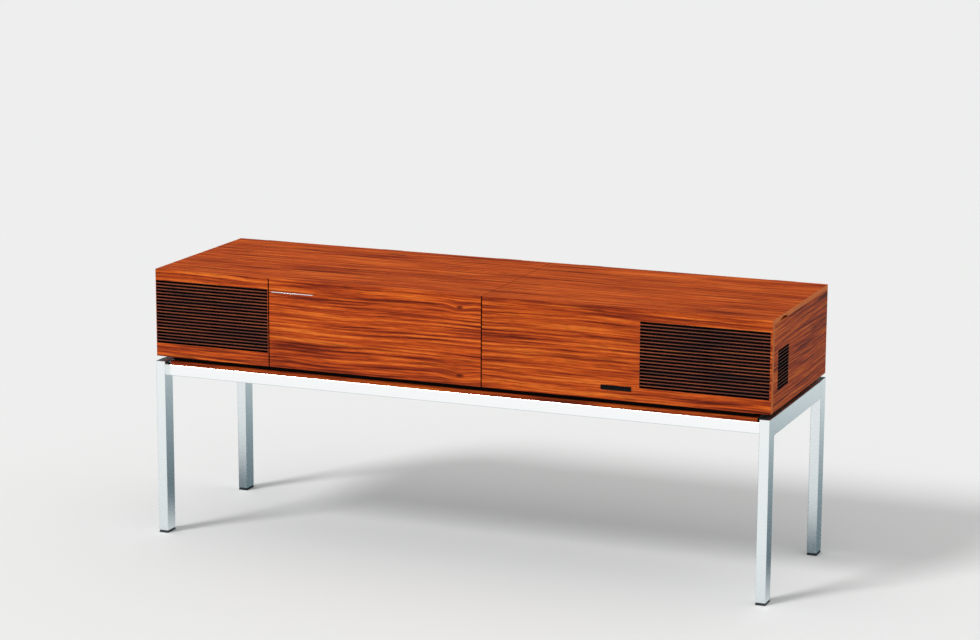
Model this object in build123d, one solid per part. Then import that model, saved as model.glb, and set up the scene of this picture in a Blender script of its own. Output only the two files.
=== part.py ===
from build123d import *
from math import atan, cos, degrees, pi, radians, sin
import os

# Stereo music centre: a long low veneered cabinet on a rectangular steel leg frame.
# Millimetres. X runs along the length, the front faces -Y, Z is up, and the origin is
# on the floor under the middle of the cabinet.

# ---- driving dimensions -------------------------------------------------------------
cabinet_length = 1600.0
cabinet_depth = 470.0
cabinet_height = 222.0
cabinet_underside = 458.0        # height of the cabinet's underside above the floor

board = 16.0                     # carcass and front boards
lid_board = 12.0
rear_board = 4.0                 # hardboard rear cover
cover_board = 8.0                # boards that close the loudspeaker chambers
motor_board_thickness = 12.0
groove_depth = 6.0               # housing grooves for the cover and motor boards
fit_gap = 0.3                    # clearance of a board in its groove or bay
lid_clearance = 0.5              # air between a closed lid and what lies under it
seam = 3.0                       # open joint between two fronts
lid_gap = 1.2                    # open joint between the two lids

speaker_front_width = 313.6      # left end to the middle of the first front seam
right_grille_width = 320.8       # right end to the left edge of the right grille
right_end_margin = 4.5           # plain wood beyond the right grille
left_end_margin = 1.5            # plain wood at both ends of the left grille

slot_height = 5.6
slat_height = 2.5
slot_depth = 9.0                 # front half of the board; windows open it from behind
front_slots = 20
side_slots = 12
grille_drop = 28.5               # top of the cabinet to the first front slot
side_grille_drop = 80.0
side_grille_setback = 49.0       # front of the cabinet to the side slots
side_grille_length = 88.0
grille_windows = 2
grille_rib = 8.0
cloth_thickness = 0.8
cloth_border = 5.0

leg_width = 25.0
leg_depth = 41.5
tube_wall = 2.0
tube_radius = 2.0
frame_reach_x = 0.0              # legs stand this far outside the cabinet ends
frame_reach_y = 7.0              # and this far outside its front and back
frame_drop = 12.0                # underside of the cabinet to the top of the side frames
side_rail_height = 45.0
long_rail_height = 28.0
long_rail_width = 27.0
long_rail_drop = 10.0            # top of the side frames to the top of the long rails
glide_gap = 4.5                  # dark neck of the glide between its sole and the tube
glide_sole = 2.0
glide_plug = 22.0
glide_inset = 2.5

plinth_inset_end = 34.0
rail_screw_inset = 120.0
plinth_width = 20.0
plinth_wood_height = 9.5
shadow_setback = 8.0

finger_notch_setback = 58.0
finger_notch_length = 64.0
finger_notch_height = 6.5
finger_notch_depth = 15.0

hinge_length = 60.0
hinge_knuckles = 3
knuckle_radius = 2.6
hinge_pin_radius = 1.2
hinge_leaf = 1.2
hinge_leaf_height = 9.0
hinge_end_distance = 110.0
running_gap = 0.05               # radial clearance of a pin in its bore
side_play = 0.3                  # end play between moving metal pieces

lid_angle = 70.0
stay_length = 150.0
stay_rest_angle = 6.0            # angle between the folded arm's pivot line and its track
track_tilt = 5.2                 # the slot points at the hinge axis
stay_plate = 2.0
stay_arm_width = 10.0
stay_pin_radius = 2.5
slot_play = 0.3
track_rim = 5.0
track_foot_width = 12.0
track_foot = 1.5
pivot_plate_width = 28.0
pivot_plate_rise = 7.0
pivot_plate_drop = 24.0

fascia_setback = 33.0            # inside of the flap to the face of the radio
fascia_thickness = 4.0
fascia_top_gap = 7.0             # air between the fascia and the closed lid
dial_end_margin = 59.8           # ends of the radio bay to the dial window
dial_height = 64.0
dial_drop = 22.0                 # top of the fascia to the dial window
dial_pocket = 14.0
glass_thickness = 3.0
pointer_rest_gap = 25.0          # end of the dial to the pointer at the end of its travel
pointer_width = 1.8
guide_rod_radius = 1.5
carriage_size = 8.0
control_row = 46.0               # floor of the bay to the row of controls
first_knob = 45.0                # left end of the bay to the first knob
knob_pitch = 50.0
tuning_knob_inset = 50.0         # right end of the bay to the tuning knob
knob_radius = 16.0
tuning_knob_radius = 23.0
knob_length = 17.0
knob_skirt = 3.0
knob_shaft_radius = 3.0
knob_shaft_length = 10.0
button_width = 22.0
button_height = 13.0
button_pitch = 29.0
button_count = 5
button_reach = 12.0              # how far a button stands out of the fascia
button_tail = 12.0
button_edge = 1.5
button_travel = 5.0

chassis_margin = 40.0            # air between the chassis and the partitions
chassis_sheet = 1.5
guide_rod_room = 12.0            # height of the dial pocket above its window
tuner_depth = 120.0
amplifier_height = 62.0
transformer_length = 85.0
transformer_width = 70.0
transformer_height = 62.0
transformer_inset = 30.0
valve_radius = 10.5
valve_height = 52.0
valve_stagger = 20.0
valve_count = 5
socket_panel_height = 100.0
socket_panel_gap = 4.0
socket_radius = 8.0
socket_pitch = 34.0
socket_count = 4
socket_height = 65.0             # floor of the bay to the row of sockets
socket_window_length = 160.0
socket_window_height = 40.0
socket_window_offset = 35.0      # middle of the radio bay to the middle of the window
vent_width = 8.0
vent_height = 70.0
vent_pitch = 28.0
vent_floor = 95.0                # floor of the bays to the vents

motor_board_height = 96.0        # underside of the cabinet to the top of the motor board
deck_length = 350.0
deck_depth = 300.0
deck_side_gap = 10.5             # ends of the deck to the partitions
deck_thickness = 2.0
deck_corner = 18.0
platter_radius = 134.0
platter_height = 14.0
platter_lift = 6.0               # air between the deck and the platter
platter_inset = 8.0              # left edge of the deck to the platter
platter_rim = 6.0
platter_web = 3.0
bearing_radius = 5.0             # thick part of the spindle that the platter turns on
spindle_radius = 3.55
spindle_height = 42.0
spindle_tip = 6.0
spindle_neck = 0.5               # relief where the record pin meets the bearing
tonearm_length = 208.0
tonearm_radius = 4.0
tonearm_rise = 15.0              # top of the platter to the axis of the arm
tonearm_swing = 40.0
arm_inset_x = 32.0               # corner of the deck to the arm's pillar
arm_inset_y = 42.0
arm_pin_radius = 1.5
arm_hub_radius = 5.0
fork_width = 24.0
fork_depth = 14.0
fork_cheek = 3.0
fork_drop = 12.0                 # axis of the arm to the underside of the fork
fork_rise = 6.0
pillar_radius = 8.0
pillar_foot_radius = 15.0
pillar_shaft_radius = 5.0
counterweight_radius = 10.0
counterweight_near = 18.0        # pillar to the near face of the counterweight
counterweight_length = 22.0
head_length = 44.0
head_width = 16.0
head_height = 16.0
motor_radius = 30.0
motor_height = 46.0
motor_shift_x = 60.0             # spindle to the motor
motor_shift_y = 70.0
board_opening_gap = 6.0          # motor board to what hangs through it
changer_knob_radius = 15.0
changer_knob_height = 16.0
changer_knob_inset = 30.0

woofer_radius = 75.0
woofer_depth = 62.0
woofer_inset = 40.0              # end of the chamber to the edge of the woofer
woofer_steel = 2.5
cone_wall = 1.8
tweeter_width = 76.0
tweeter_plate = 4.0
tweeter_magnet_radius = 21.0
tweeter_depth = 26.0
tweeter_inset = 8.0

screw_radius = 2.0
screw_head_radius = 4.5
screw_head_height = 2.2
screw_hole_gap = 0.2
screw_bite = 10.0
cover_screw_inset = 40.0

# ---- planes that the pieces share ---------------------------------------------------
left, right = -cabinet_length / 2, cabinet_length / 2
front, back = -cabinet_depth / 2, cabinet_depth / 2
bottom, top = cabinet_underside, cabinet_underside + cabinet_height
lid_under = top - lid_board
carcass_top = lid_under - lid_clearance
inner_front = front + board
floor_top = bottom + board
rear_face = back - rear_board                    # rear of the boards behind the cover
speaker_seam = left + speaker_front_width
left_partition_x = speaker_seam + seam - board   # each partition backs its seam
right_partition_x = right - right_grille_width - board
changer_right = right_partition_x
changer_left = changer_right - deck_length - 2 * deck_side_gap
middle_partition_x = changer_left - board
lid_seam = middle_partition_x + seam
radio_left = left_partition_x + board            # the radio bay takes what is left
radio_right = middle_partition_x
slot_pitch = slot_height + slat_height
side_frame_top = bottom - frame_drop
long_rail_top = side_frame_top - long_rail_drop
leg_outer_x = cabinet_length / 2 + frame_reach_x
leg_outer_y = cabinet_depth / 2 + frame_reach_y
leg_inner_x = leg_outer_x - leg_width
leg_inner_y = leg_outer_y - leg_depth
leg_bottom = glide_sole + glide_gap
rear_rail_depth = 20.0
rear_rail_height = 24.0
rear_lip_height = 13.0
rear_lip_bottom = carcass_top - rear_lip_height
cover_top = carcass_top - 9.0                    # top face of the chamber covers
hinge_y = back + knuckle_radius + side_play
hinge_z = lid_under


# ---- helpers ------------------------------------------------------------------------
def block(x0, x1, y0, y1, z0, z1):
    """A box between two corners."""
    return Pos((x0 + x1) / 2, (y0 + y1) / 2, (z0 + z1) / 2) * Box(x1 - x0, y1 - y0, z1 - z0)


def profile_along_x(points, x0, x1):
    """A (y, z) outline carried from x0 to x1."""
    return extrude(Plane.YZ.offset(x0) * make_face(Polyline(*points, close=True)), x1 - x0)


def prism(radius, height, sides, bore):
    """Many-sided bar along Z; a bore clears the radius, a bar stays inside it."""
    return extrude(RegularPolygon(radius, sides, major_radius=not bore), height)


def rod_x(x0, x1, y, z, radius, sides=12, bore=False):
    return Pos(x0, y, z) * Rot(0, 90, 0) * prism(radius, x1 - x0, sides, bore)


def rod_y(x, y0, y1, z, radius, sides=12, bore=False):
    return Pos(x, y0, z) * Rot(-90, 0, 0) * prism(radius, y1 - y0, sides, bore)


def rod_z(x, y, z0, z1, radius, sides=12, bore=False):
    return Pos(x, y, z0) * prism(radius, z1 - z0, sides, bore)


def taper(radius0, radius1, z0, z1, sides=24):
    """Many-sided cone frustum along Z."""
    slope = degrees(atan((radius0 - radius1) * cos(pi / sides) / (z1 - z0)))
    return Pos(0, 0, z0) * extrude(RegularPolygon(radius0, sides), z1 - z0, taper=slope)


def spread(first, last, count):
    """Evenly spaced places from first to last."""
    return [first + (last - first) * i / (count - 1) for i in range(count)]


# ---- leg frame ----------------------------------------------------------------------
def leg(side_x, side_y):
    """Rectangular tube with a welded top; side_x and side_y pick the corner."""
    x = side_x * (leg_outer_x - leg_width / 2)
    y = side_y * (leg_outer_y - leg_depth / 2)
    height = side_frame_top - leg_bottom
    outer = extrude(RectangleRounded(leg_width, leg_depth, tube_radius), height)
    hollow = Rectangle(leg_width - 2 * tube_wall, leg_depth - 2 * tube_wall)
    return Pos(x, y, leg_bottom) * (outer - extrude(hollow, height - tube_wall))


def side_rail(side_x):
    """Deep rail between the front and rear leg, flush with their outer faces."""
    x = side_x * (leg_outer_x - leg_width / 2)
    z = side_frame_top - side_rail_height / 2
    outer = RectangleRounded(leg_width, side_rail_height, tube_radius)
    hollow = Rectangle(leg_width - 2 * tube_wall, side_rail_height - 2 * tube_wall)
    return Pos(x, 0, z) * extrude(Plane.XZ * (outer - hollow), leg_inner_y, both=True)


def long_rail(side_y):
    """Shallow rail between the two side frames, flush with the legs' inner faces."""
    y = side_y * (leg_inner_y + long_rail_width / 2)
    z = long_rail_top - long_rail_height / 2
    outer = RectangleRounded(long_rail_height, long_rail_width, tube_radius)
    hollow = Rectangle(long_rail_height - 2 * tube_wall, long_rail_width - 2 * tube_wall)
    tube = Pos(0, y, z) * Rot(0, 90, 0) * extrude(outer - hollow, leg_inner_x, both=True)
    for x in rail_screw_places():
        tube -= screw_hole_z(x, y, z - long_rail_height, z + long_rail_height)
    return tube


def screw_hole_y(x, y0, y1, z):
    return rod_y(x, y0, y1, z, screw_radius + screw_hole_gap, 6, bore=True)


def screw_hole_z(x, y, z0, z1):
    return rod_z(x, y, z0, z1, screw_radius + screw_hole_gap, 6, bore=True)


def rail_screw_places():
    end = plinth_end() - rail_screw_inset
    return (-end, end)


def leg_glides():
    """Plastic plugs in the leg ends, each with a wider sole on the floor."""
    glides = []
    for side_x in (-1, 1):
        for side_y in (-1, 1):
            x = side_x * (leg_outer_x - leg_width / 2)
            y = side_y * (leg_outer_y - leg_depth / 2)
            sole = extrude(Rectangle(leg_width, leg_depth), glide_sole)
            sole = chamfer(sole.edges().filter_by(Axis.Z), tube_radius / 2)
            neck = Rectangle(leg_width - glide_inset, leg_depth - glide_inset)
            plug = Rectangle(leg_width - 2 * tube_wall - 2 * fit_gap, leg_depth - 2 * tube_wall - 2 * fit_gap)
            body = sole + Pos(0, 0, glide_sole) * extrude(neck, glide_gap)
            body += Pos(0, 0, leg_bottom) * extrude(plug, glide_plug)
            glides.append(Pos(x, y, 0) * body)
    return glides


# ---- plinth between frame and cabinet -----------------------------------------------
def plinth_end():
    return cabinet_length / 2 - plinth_inset_end


def batten_ring(end_x, outer_y, width, z0, z1):
    """Two long battens and two short ones between them."""
    ring = []
    for side in (-1, 1):
        y0, y1 = sorted((side * outer_y, side * (outer_y - width)))
        ring.append(block(-end_x, end_x, y0, y1, z0, z1))
        x0, x1 = sorted((side * end_x, side * (end_x - width)))
        ring.append(block(x0, x1, -outer_y + width, outer_y - width, z0, z1))
    return ring


def plinth_frame():
    """Veneered battens that stand on the long rails, flush with their faces."""
    outer_y = leg_inner_y + long_rail_width
    z1 = long_rail_top + plinth_wood_height
    ring = batten_ring(plinth_end(), outer_y, plinth_width, long_rail_top, z1)
    holes = [screw_hole_z(x, y, long_rail_top - 1, long_rail_top + screw_bite)
             for x in rail_screw_places() for y in rail_screw_rows()]
    for hole in holes:
        ring = [batten - hole for batten in ring]
    return ring


def rail_screw_rows():
    y = leg_inner_y + long_rail_width / 2
    return (-y, y)


def shadow_strip():
    """Black strip set back above the plinth, which makes the cabinet float."""
    outer_y = leg_inner_y + long_rail_width - shadow_setback
    width = plinth_width - shadow_setback / 2
    end = plinth_end() - shadow_setback
    return batten_ring(end, outer_y, width, long_rail_top + plinth_wood_height, bottom)


# ---- carcass ------------------------------------------------------------------------
def bottom_board():
    panel = block(left + board, right - board, inner_front, rear_face, bottom, floor_top)
    for x in cover_screw_places():
        panel -= screw_hole_y(x, rear_face - screw_bite, rear_face + 1, bottom + board / 2)
    return panel


def cover_groove(x0, x1):
    """Groove that the edge of a chamber cover sits in."""
    z0, z1 = cover_top - cover_board - fit_gap, cover_top + fit_gap
    return block(x0, x1, inner_front - 1, rear_face - rear_rail_depth, z0, z1)


def side_panel(side):
    """Veneered end with a small grille near the front."""
    x0, x1 = sorted((side * (right - board), side * right))
    inner = side * (right - board)
    panel = block(x0, x1, inner_front, back, bottom, carcass_top)
    g0, g1 = sorted((inner, inner + side * groove_depth))
    panel -= cover_groove(g0, g1)
    y0 = front + side_grille_setback
    y1 = y0 + side_grille_length
    s0, s1 = sorted((side * (right - slot_depth), side * (right + 1)))
    for i in range(side_slots):
        z1 = top - side_grille_drop - i * slot_pitch
        panel -= block(s0, s1, y0, y1, z1 - slot_height, z1)
    z_high = top - side_grille_drop
    z_low = z_high - side_slots * slot_pitch + slat_height
    w0, w1 = sorted((side * (right - board - 1), side * (right - slot_depth)))
    return panel - block(w0, w1, y0 + grille_rib, y1 - grille_rib, z_low, z_high)


def front_outline():
    """Section of a fixed front: its top is mitred against the lid."""
    return [(front, bottom), (inner_front, bottom), (inner_front, carcass_top),
            (front + lid_board, carcass_top), (front, top - lid_clearance)]


def slotted(panel, x0, x1):
    """Cut the slots from the front and the windows behind them."""
    z_high = top - grille_drop
    for i in range(front_slots):
        z1 = z_high - i * slot_pitch
        panel -= block(x0, x1, front - 1, front + slot_depth, z1 - slot_height, z1)
    z_low = z_high - front_slots * slot_pitch + slat_height
    width = (x1 - x0 - (grille_windows + 1) * grille_rib) / grille_windows
    for i in range(grille_windows):
        x = x0 + grille_rib + i * (width + grille_rib)
        panel -= block(x, x + width, front + slot_depth, inner_front + 1, z_low, z_high)
    return panel


def speaker_front_left():
    end = speaker_seam - seam / 2
    panel = profile_along_x(front_outline(), left, end)
    return slotted(panel, left + left_end_margin, end - left_end_margin)


def front_panel_right():
    panel = profile_along_x(front_outline(), lid_seam + seam / 2, right)
    return slotted(panel, right - right_grille_width, right - right_end_margin)


def partition(x0):
    return block(x0, x0 + board, inner_front + fit_gap, rear_face, floor_top, carcass_top)


def rail_notch(x0):
    """Notch in a partition's top rear corner for the rear top rail."""
    return block(x0 - 1, x0 + board + 1, rear_face - rear_rail_depth, rear_face + 1,
                 carcass_top - rear_rail_height, carcass_top + 1)


def motor_board_groove(x0, x1):
    z1 = bottom + motor_board_height
    return block(x0, x1, inner_front, rear_face - rear_rail_depth,
                 z1 - motor_board_thickness - fit_gap, z1 + fit_gap)


def left_partition():
    x = left_partition_x
    return partition(x) - rail_notch(x) - cover_groove(x, x + groove_depth)


def middle_partition():
    x = middle_partition_x
    return partition(x) - rail_notch(x) - motor_board_groove(x + board - groove_depth, x + board)


def right_partition():
    x = right_partition_x
    grooved = partition(x) - rail_notch(x) - motor_board_groove(x, x + groove_depth)
    return grooved - cover_groove(x + board - groove_depth, x + board)


def rear_top_rail():
    """Hardwood rail that the lid hinges are screwed to."""
    rail = [(rear_face - rear_rail_depth, carcass_top - rear_rail_height),
            (rear_face, carcass_top - rear_rail_height), (rear_face, rear_lip_bottom),
            (back, rear_lip_bottom), (back, carcass_top), (rear_face - rear_rail_depth, carcass_top)]
    solid = profile_along_x(rail, left + board, right - board)
    z = (carcass_top - rear_rail_height + rear_lip_bottom) / 2
    for x in cover_screw_places():
        solid -= screw_hole_y(x, rear_face - screw_bite, rear_face + 1, z)
    return solid


def cover_screw_places():
    return spread(left + board + cover_screw_inset, right - board - cover_screw_inset, 4)


def rear_cover():
    """Hardboard back with ventilation slots and a window at the socket panel."""
    x0, x1 = left + board + fit_gap, right - board - fit_gap
    z0, z1 = bottom + fit_gap, rear_lip_bottom - fit_gap
    cover = block(x0, x1, rear_face, back, z0, z1)
    for z in cover_screw_rows():
        for x in cover_screw_places():
            cover -= screw_hole_y(x, rear_face - 1, back + 1, z)
    w0, w1, wz0, wz1 = socket_window()
    cover -= block(w0, w1, rear_face - 1, back + 1, wz0, wz1)
    bays = [(left + board, left_partition_x, 5), (radio_left, radio_right, 9),
            (changer_left, changer_right, 7), (right_partition_x + board, right - board, 5)]
    for x0, x1, count in bays:
        for i in range(count):
            x = (x0 + x1) / 2 + (i - (count - 1) / 2) * vent_pitch
            cover -= block(x - vent_width / 2, x + vent_width / 2, rear_face - 1, back + 1,
                           floor_top + vent_floor, floor_top + vent_floor + vent_height)
    return cover


def cover_screw_rows():
    return (bottom + board / 2, (carcass_top - rear_rail_height + rear_lip_bottom) / 2)


def chamber_cover(x0, x1):
    """Loose board over a loudspeaker chamber, its ends in grooves."""
    reach = groove_depth - fit_gap
    z1 = cover_top
    return block(x0 - reach, x1 + reach, inner_front + cloth_thickness + fit_gap,
                 rear_face - rear_rail_depth - fit_gap, z1 - cover_board, z1)


def chamber_covers():
    return [chamber_cover(left + board, left_partition_x),
            chamber_cover(right_partition_x + board, right - board)]


def grille_cloths():
    """Black acoustic cloth glued behind each grille."""
    z_high = top - grille_drop + cloth_border
    z_low = top - grille_drop - front_slots * slot_pitch + slat_height - cloth_border
    y0, y1 = inner_front, inner_front + cloth_thickness
    cloths = [block(left + board, left_partition_x, y0, y1, z_low, z_high),
              block(right_partition_x + board, right - board, y0, y1, z_low, z_high)]
    y0 = front + side_grille_setback
    y1 = y0 + side_grille_length
    z_high = top - side_grille_drop + cloth_border
    z_low = top - side_grille_drop - side_slots * slot_pitch + slat_height - cloth_border
    for side in (-1, 1):
        x0, x1 = sorted((side * (right - board), side * (right - board - cloth_thickness)))
        cloths.append(block(x0, x1, y0 - cloth_border, y1 + cloth_border, z_low, z_high))
    return cloths


# ---- loudspeakers -------------------------------------------------------------------
def woofer_basket(radius, depth):
    """Pressed frame with its magnet; the mounting flange is at depth 0."""
    rim, neck = radius * 0.84, radius * 0.42
    back_plate = depth * 0.6
    flange = rod_z(0, 0, 0, woofer_steel, radius, 24) - rod_z(0, 0, -1, woofer_steel + 1, rim, 24)
    shell = taper(rim + woofer_steel, neck + woofer_steel, 0, back_plate)
    hollow = taper(rim, neck, 0, back_plate - woofer_steel)
    return flange + (shell - hollow) + rod_z(0, 0, back_plate, depth, radius * 0.5, 24)


def woofer_cone(radius, depth):
    """Paper cone with a flat dust cap, clear of the basket."""
    rim, neck = radius * 0.84 - 4 * side_play, radius * 0.22
    deep = depth * 0.6 - 3 * woofer_steel
    outer = taper(rim, neck, 0, deep)
    return outer - taper(rim - cone_wall, neck, -cone_wall, deep - 3 * cone_wall)


def facing_front(piece, x, z):
    return Pos(x, inner_front + cloth_thickness, z) * Rot(-90, 0, 0) * piece


def facing_side(piece, side, y, z):
    return Pos(side * (right - board - cloth_thickness), y, z) * Rot(0, -90 * side, 0) * piece


def speaker_height():
    return top - grille_drop - (front_slots * slot_pitch - slat_height) / 2


def woofer_places():
    return (left + board + woofer_inset + woofer_radius, right - board - woofer_inset - woofer_radius)


def tweeter_places():
    reach = tweeter_inset + tweeter_width / 2
    return (left_partition_x - reach, right_partition_x + board + reach)


def woofer_baskets():
    basket = woofer_basket(woofer_radius, woofer_depth)
    return [facing_front(basket, x, speaker_height()) for x in woofer_places()]


def woofer_cones():
    """Each cone hangs in its basket by a surround that meets the basket's rim."""
    cone = woofer_cone(woofer_radius, woofer_depth)
    return [facing_front(cone, x, speaker_height()) for x in woofer_places()]


def tweeters():
    """Closed tweeters, two behind the front grilles and two behind the end grilles."""
    half = tweeter_width / 2
    unit = block(-half, half, -half, half, 0, tweeter_plate)
    unit += rod_z(0, 0, tweeter_plate, tweeter_depth, tweeter_magnet_radius, 16)
    units = [facing_front(unit, x, speaker_height()) for x in tweeter_places()]
    y = front + side_grille_setback + side_grille_length / 2
    z = top - side_grille_drop - (side_slots * slot_pitch - slat_height) / 2
    return units + [facing_side(unit, side, y, z) for side in (-1, 1)]


# ---- lids ---------------------------------------------------------------------------
def lid_outline():
    return [(front, top), (front + lid_board, lid_under), (back, lid_under), (back, top)]


def lid_board_left():
    return profile_along_x(lid_outline(), left, lid_seam - lid_gap / 2)


def lid_flap():
    """Front of the radio bay, mitred and glued to the left lid."""
    outline = [(front, bottom), (inner_front, bottom), (inner_front, lid_under),
               (front + lid_board, lid_under), (front, top)]
    return profile_along_x(outline, speaker_seam + seam / 2, lid_seam - seam / 2)


def lid_board_right():
    """Changer lid with an arched finger notch in its end."""
    lid = profile_along_x(lid_outline(), lid_seam + lid_gap / 2, right)
    half = finger_notch_length / 2
    radius = (half ** 2 + finger_notch_height ** 2) / (2 * finger_notch_height)
    y = front + finger_notch_setback + half
    z = lid_under + finger_notch_height - radius
    notch = rod_x(right - finger_notch_depth, right + 1, y, z, radius, 72, bore=True)
    return lid - notch


# ---- lid hinges ---------------------------------------------------------------------
def hinge_places_left():
    return spread(left + hinge_end_distance, lid_seam - hinge_end_distance, 3)


def hinge_places_right():
    return spread(lid_seam + hinge_end_distance, right - hinge_end_distance, 2)


def all_hinge_places():
    return hinge_places_left() + hinge_places_right()


def hinge_leaf_with_knuckles(x, moving):
    """Half of a butt hinge: the moving half goes up, the fixed half holds the pin."""
    pitch = hinge_length / hinge_knuckles
    up = 1 if moving else -1
    near = hinge_z + up * (knuckle_radius + 2 * side_play)
    z0, z1 = sorted((near, near + up * hinge_leaf_height))
    if not moving:
        z1 = min(z1, carcass_top)
    leaf = block(x - hinge_length / 2, x + hinge_length / 2, back, back + hinge_leaf, z0, z1)
    for i in range(hinge_knuckles):
        if (i % 2 == 1) != moving:
            continue
        x0 = x - hinge_length / 2 + i * pitch + side_play / 2
        x1 = x0 + pitch - side_play
        t0, t1 = sorted((hinge_z, near + up * 0.5))
        leaf += block(x0, x1, back + side_play, back + side_play + hinge_leaf, t0, t1)
        leaf += rod_x(x0, x1, hinge_y, hinge_z, knuckle_radius, 8)
        if moving:
            leaf -= rod_x(x0 - 1, x1 + 1, hinge_y, hinge_z, hinge_pin_radius + running_gap, 8, bore=True)
    if not moving:
        leaf += rod_x(x - hinge_length / 2, x + hinge_length / 2, hinge_y, hinge_z, hinge_pin_radius, 8)
    return leaf


# ---- lid stays ----------------------------------------------------------------------
# Pivot, hinge and pin make an isosceles triangle: the pin slides in a slot that points at
# the hinge axis, so the arm turns exactly twice as far as the lid.
def on_track(distance):
    """A (y, z) point of the slot's centre line at rest, measured from the hinge axis."""
    tilt = radians(track_tilt)
    return hinge_y - distance * cos(tilt), hinge_z - distance * sin(tilt)


def stay_pivot_place():
    angle = radians(track_tilt + stay_rest_angle)
    return hinge_y - stay_length * cos(angle), hinge_z - stay_length * sin(angle)


def track_far():
    return 2 * stay_length * cos(radians(stay_rest_angle))


def track_near():
    return 2 * stay_length * cos(radians(stay_rest_angle + lid_angle))


def bar(x0, x1, start, end, width):
    """Flat bar with eight-sided ends, in a plane across the X axis."""
    (ya, za), (yb, zb) = start, end
    length = ((yb - ya) ** 2 + (zb - za) ** 2) ** 0.5
    plane = Plane(origin=(x0, ya, za), x_dir=(0, yb - ya, zb - za), z_dir=(1, 0, 0))
    end_shape = Rot(0, 0, 22.5) * RegularPolygon(width / 2, 8, major_radius=False)
    outline = Pos(length / 2, 0) * Rectangle(length, width) + end_shape + Pos(length, 0) * end_shape
    return extrude(plane * outline, x1 - x0)


def stay_layers(wall, side):
    """X ranges of pivot plate, arm and track, counted from the partition's face."""
    edges = [0.0]
    for thickness, gap in ((stay_plate, side_play), (stay_plate, side_play), (stay_plate, 0.0)):
        edges += [edges[-1] + thickness, edges[-1] + thickness + gap]
    spans = [(edges[0], edges[1]), (edges[2], edges[3]), (edges[4], edges[5])]
    return [tuple(sorted((wall + side * a, wall + side * b))) for a, b in spans]


def stay_arm(wall, side):
    """Arm with its sliding pin."""
    plate, arm, track = stay_layers(wall, side)
    pivot, pin = stay_pivot_place(), on_track(track_far())
    solid = bar(*arm, pivot, pin, stay_arm_width)
    solid -= rod_x(arm[0] - 1, arm[1] + 1, *pivot, stay_pin_radius + running_gap, bore=True)
    tip = track[1] + side_play if side > 0 else track[0] - side_play
    x0, x1 = sorted((arm[0] if side > 0 else arm[1], tip))
    solid += rod_x(x0, x1, *pin, stay_pin_radius)
    h0, h1 = sorted((tip, tip + side * stay_plate / 2))
    return solid + rod_x(h0, h1, *pin, stay_pin_radius + 1.5)


def stay_track(wall, side):
    """Slotted plate under the lid, with a foot that is screwed to it."""
    track = stay_layers(wall, side)[2]
    half_slot = stay_pin_radius + slot_play
    rim = track_rim
    near_y = on_track(track_near() - half_slot - rim)[0]
    far_y, far_z = on_track(track_far() + half_slot + rim)
    low_near = on_track(track_near())[1] - half_slot - rim
    outline = [(near_y, lid_under), (near_y, low_near), (far_y, far_z - half_slot - rim), (far_y, lid_under)]
    plate = profile_along_x(outline, *track)
    plate -= bar(track[0] - 1, track[1] + 1, on_track(track_near()), on_track(track_far()), 2 * half_slot)
    face = track[1] if side > 0 else track[0]
    f0, f1 = sorted((face, face + side * track_foot_width))
    foot = block(f0, f1, far_y, near_y, lid_under - track_foot, lid_under)
    return plate + foot


def stay_pivot(wall, side):
    """Base plate on the partition with the pin that the arm turns on."""
    plate, arm, track = stay_layers(wall, side)
    y, z = stay_pivot_place()
    half = pivot_plate_width / 2
    solid = block(*plate, y - half, y + half, z - pivot_plate_drop, z + pivot_plate_rise)
    tip = arm[1] + side_play if side > 0 else arm[0] - side_play
    x0, x1 = sorted((plate[0] if side > 0 else plate[1], tip))
    return solid + rod_x(x0, x1, y, z, stay_pin_radius)


# ---- radio --------------------------------------------------------------------------
fascia_front = inner_front + fascia_setback
fascia_back = fascia_front + fascia_thickness
fascia_top = carcass_top - fascia_top_gap
radio_centre = (radio_left + radio_right) / 2
dial_top = fascia_top - dial_drop
dial_bottom = dial_top - dial_height
controls_z = floor_top + control_row
dial_left = radio_left + dial_end_margin
dial_right = radio_right - dial_end_margin
pointer_travel = (dial_right - dial_left) / 2 - pointer_rest_gap
small_knobs = ("volume_knob", "bass_knob", "treble_knob")
knob_places = {name: radio_left + first_knob + i * knob_pitch for i, name in enumerate(small_knobs)}
tuning_place = radio_right - tuning_knob_inset
button_bank_place = (knob_places["treble_knob"] + knob_radius + tuning_place - tuning_knob_radius) / 2
chassis_left = radio_left + chassis_margin
chassis_right = radio_right - chassis_margin
guide_rod_y = fascia_back + dial_pocket / 2
guide_rod_z = dial_top + guide_rod_room / 2
socket_face = rear_face - socket_panel_gap


def button_x(index):
    return button_bank_place + (index - (button_count - 1) / 2) * button_pitch


def radio_fascia():
    """Front plate of the radio with its dial window, shaft bores and button holes."""
    plate = block(radio_left + fit_gap, radio_right - fit_gap, fascia_front, fascia_back, floor_top, fascia_top)
    plate -= block(dial_left, dial_right, fascia_front - 1, fascia_back + 1, dial_bottom, dial_top)
    shaft_bore = knob_shaft_radius + running_gap
    for x in [*knob_places.values(), tuning_place]:
        plate -= rod_y(x, fascia_front - 1, fascia_back + 1, controls_z, shaft_bore, bore=True)
    for i in range(button_count):
        w, h = button_width / 2 + fit_gap, button_height / 2 + fit_gap
        x = button_x(i)
        plate -= block(x - w, x + w, fascia_front - 1, fascia_back + 1, controls_z - h, controls_z + h)
    return plate


def dial_glass():
    return block(dial_left + fit_gap, dial_right - fit_gap, fascia_front, fascia_front + glass_thickness,
                 dial_bottom + fit_gap, dial_top - fit_gap)


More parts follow.
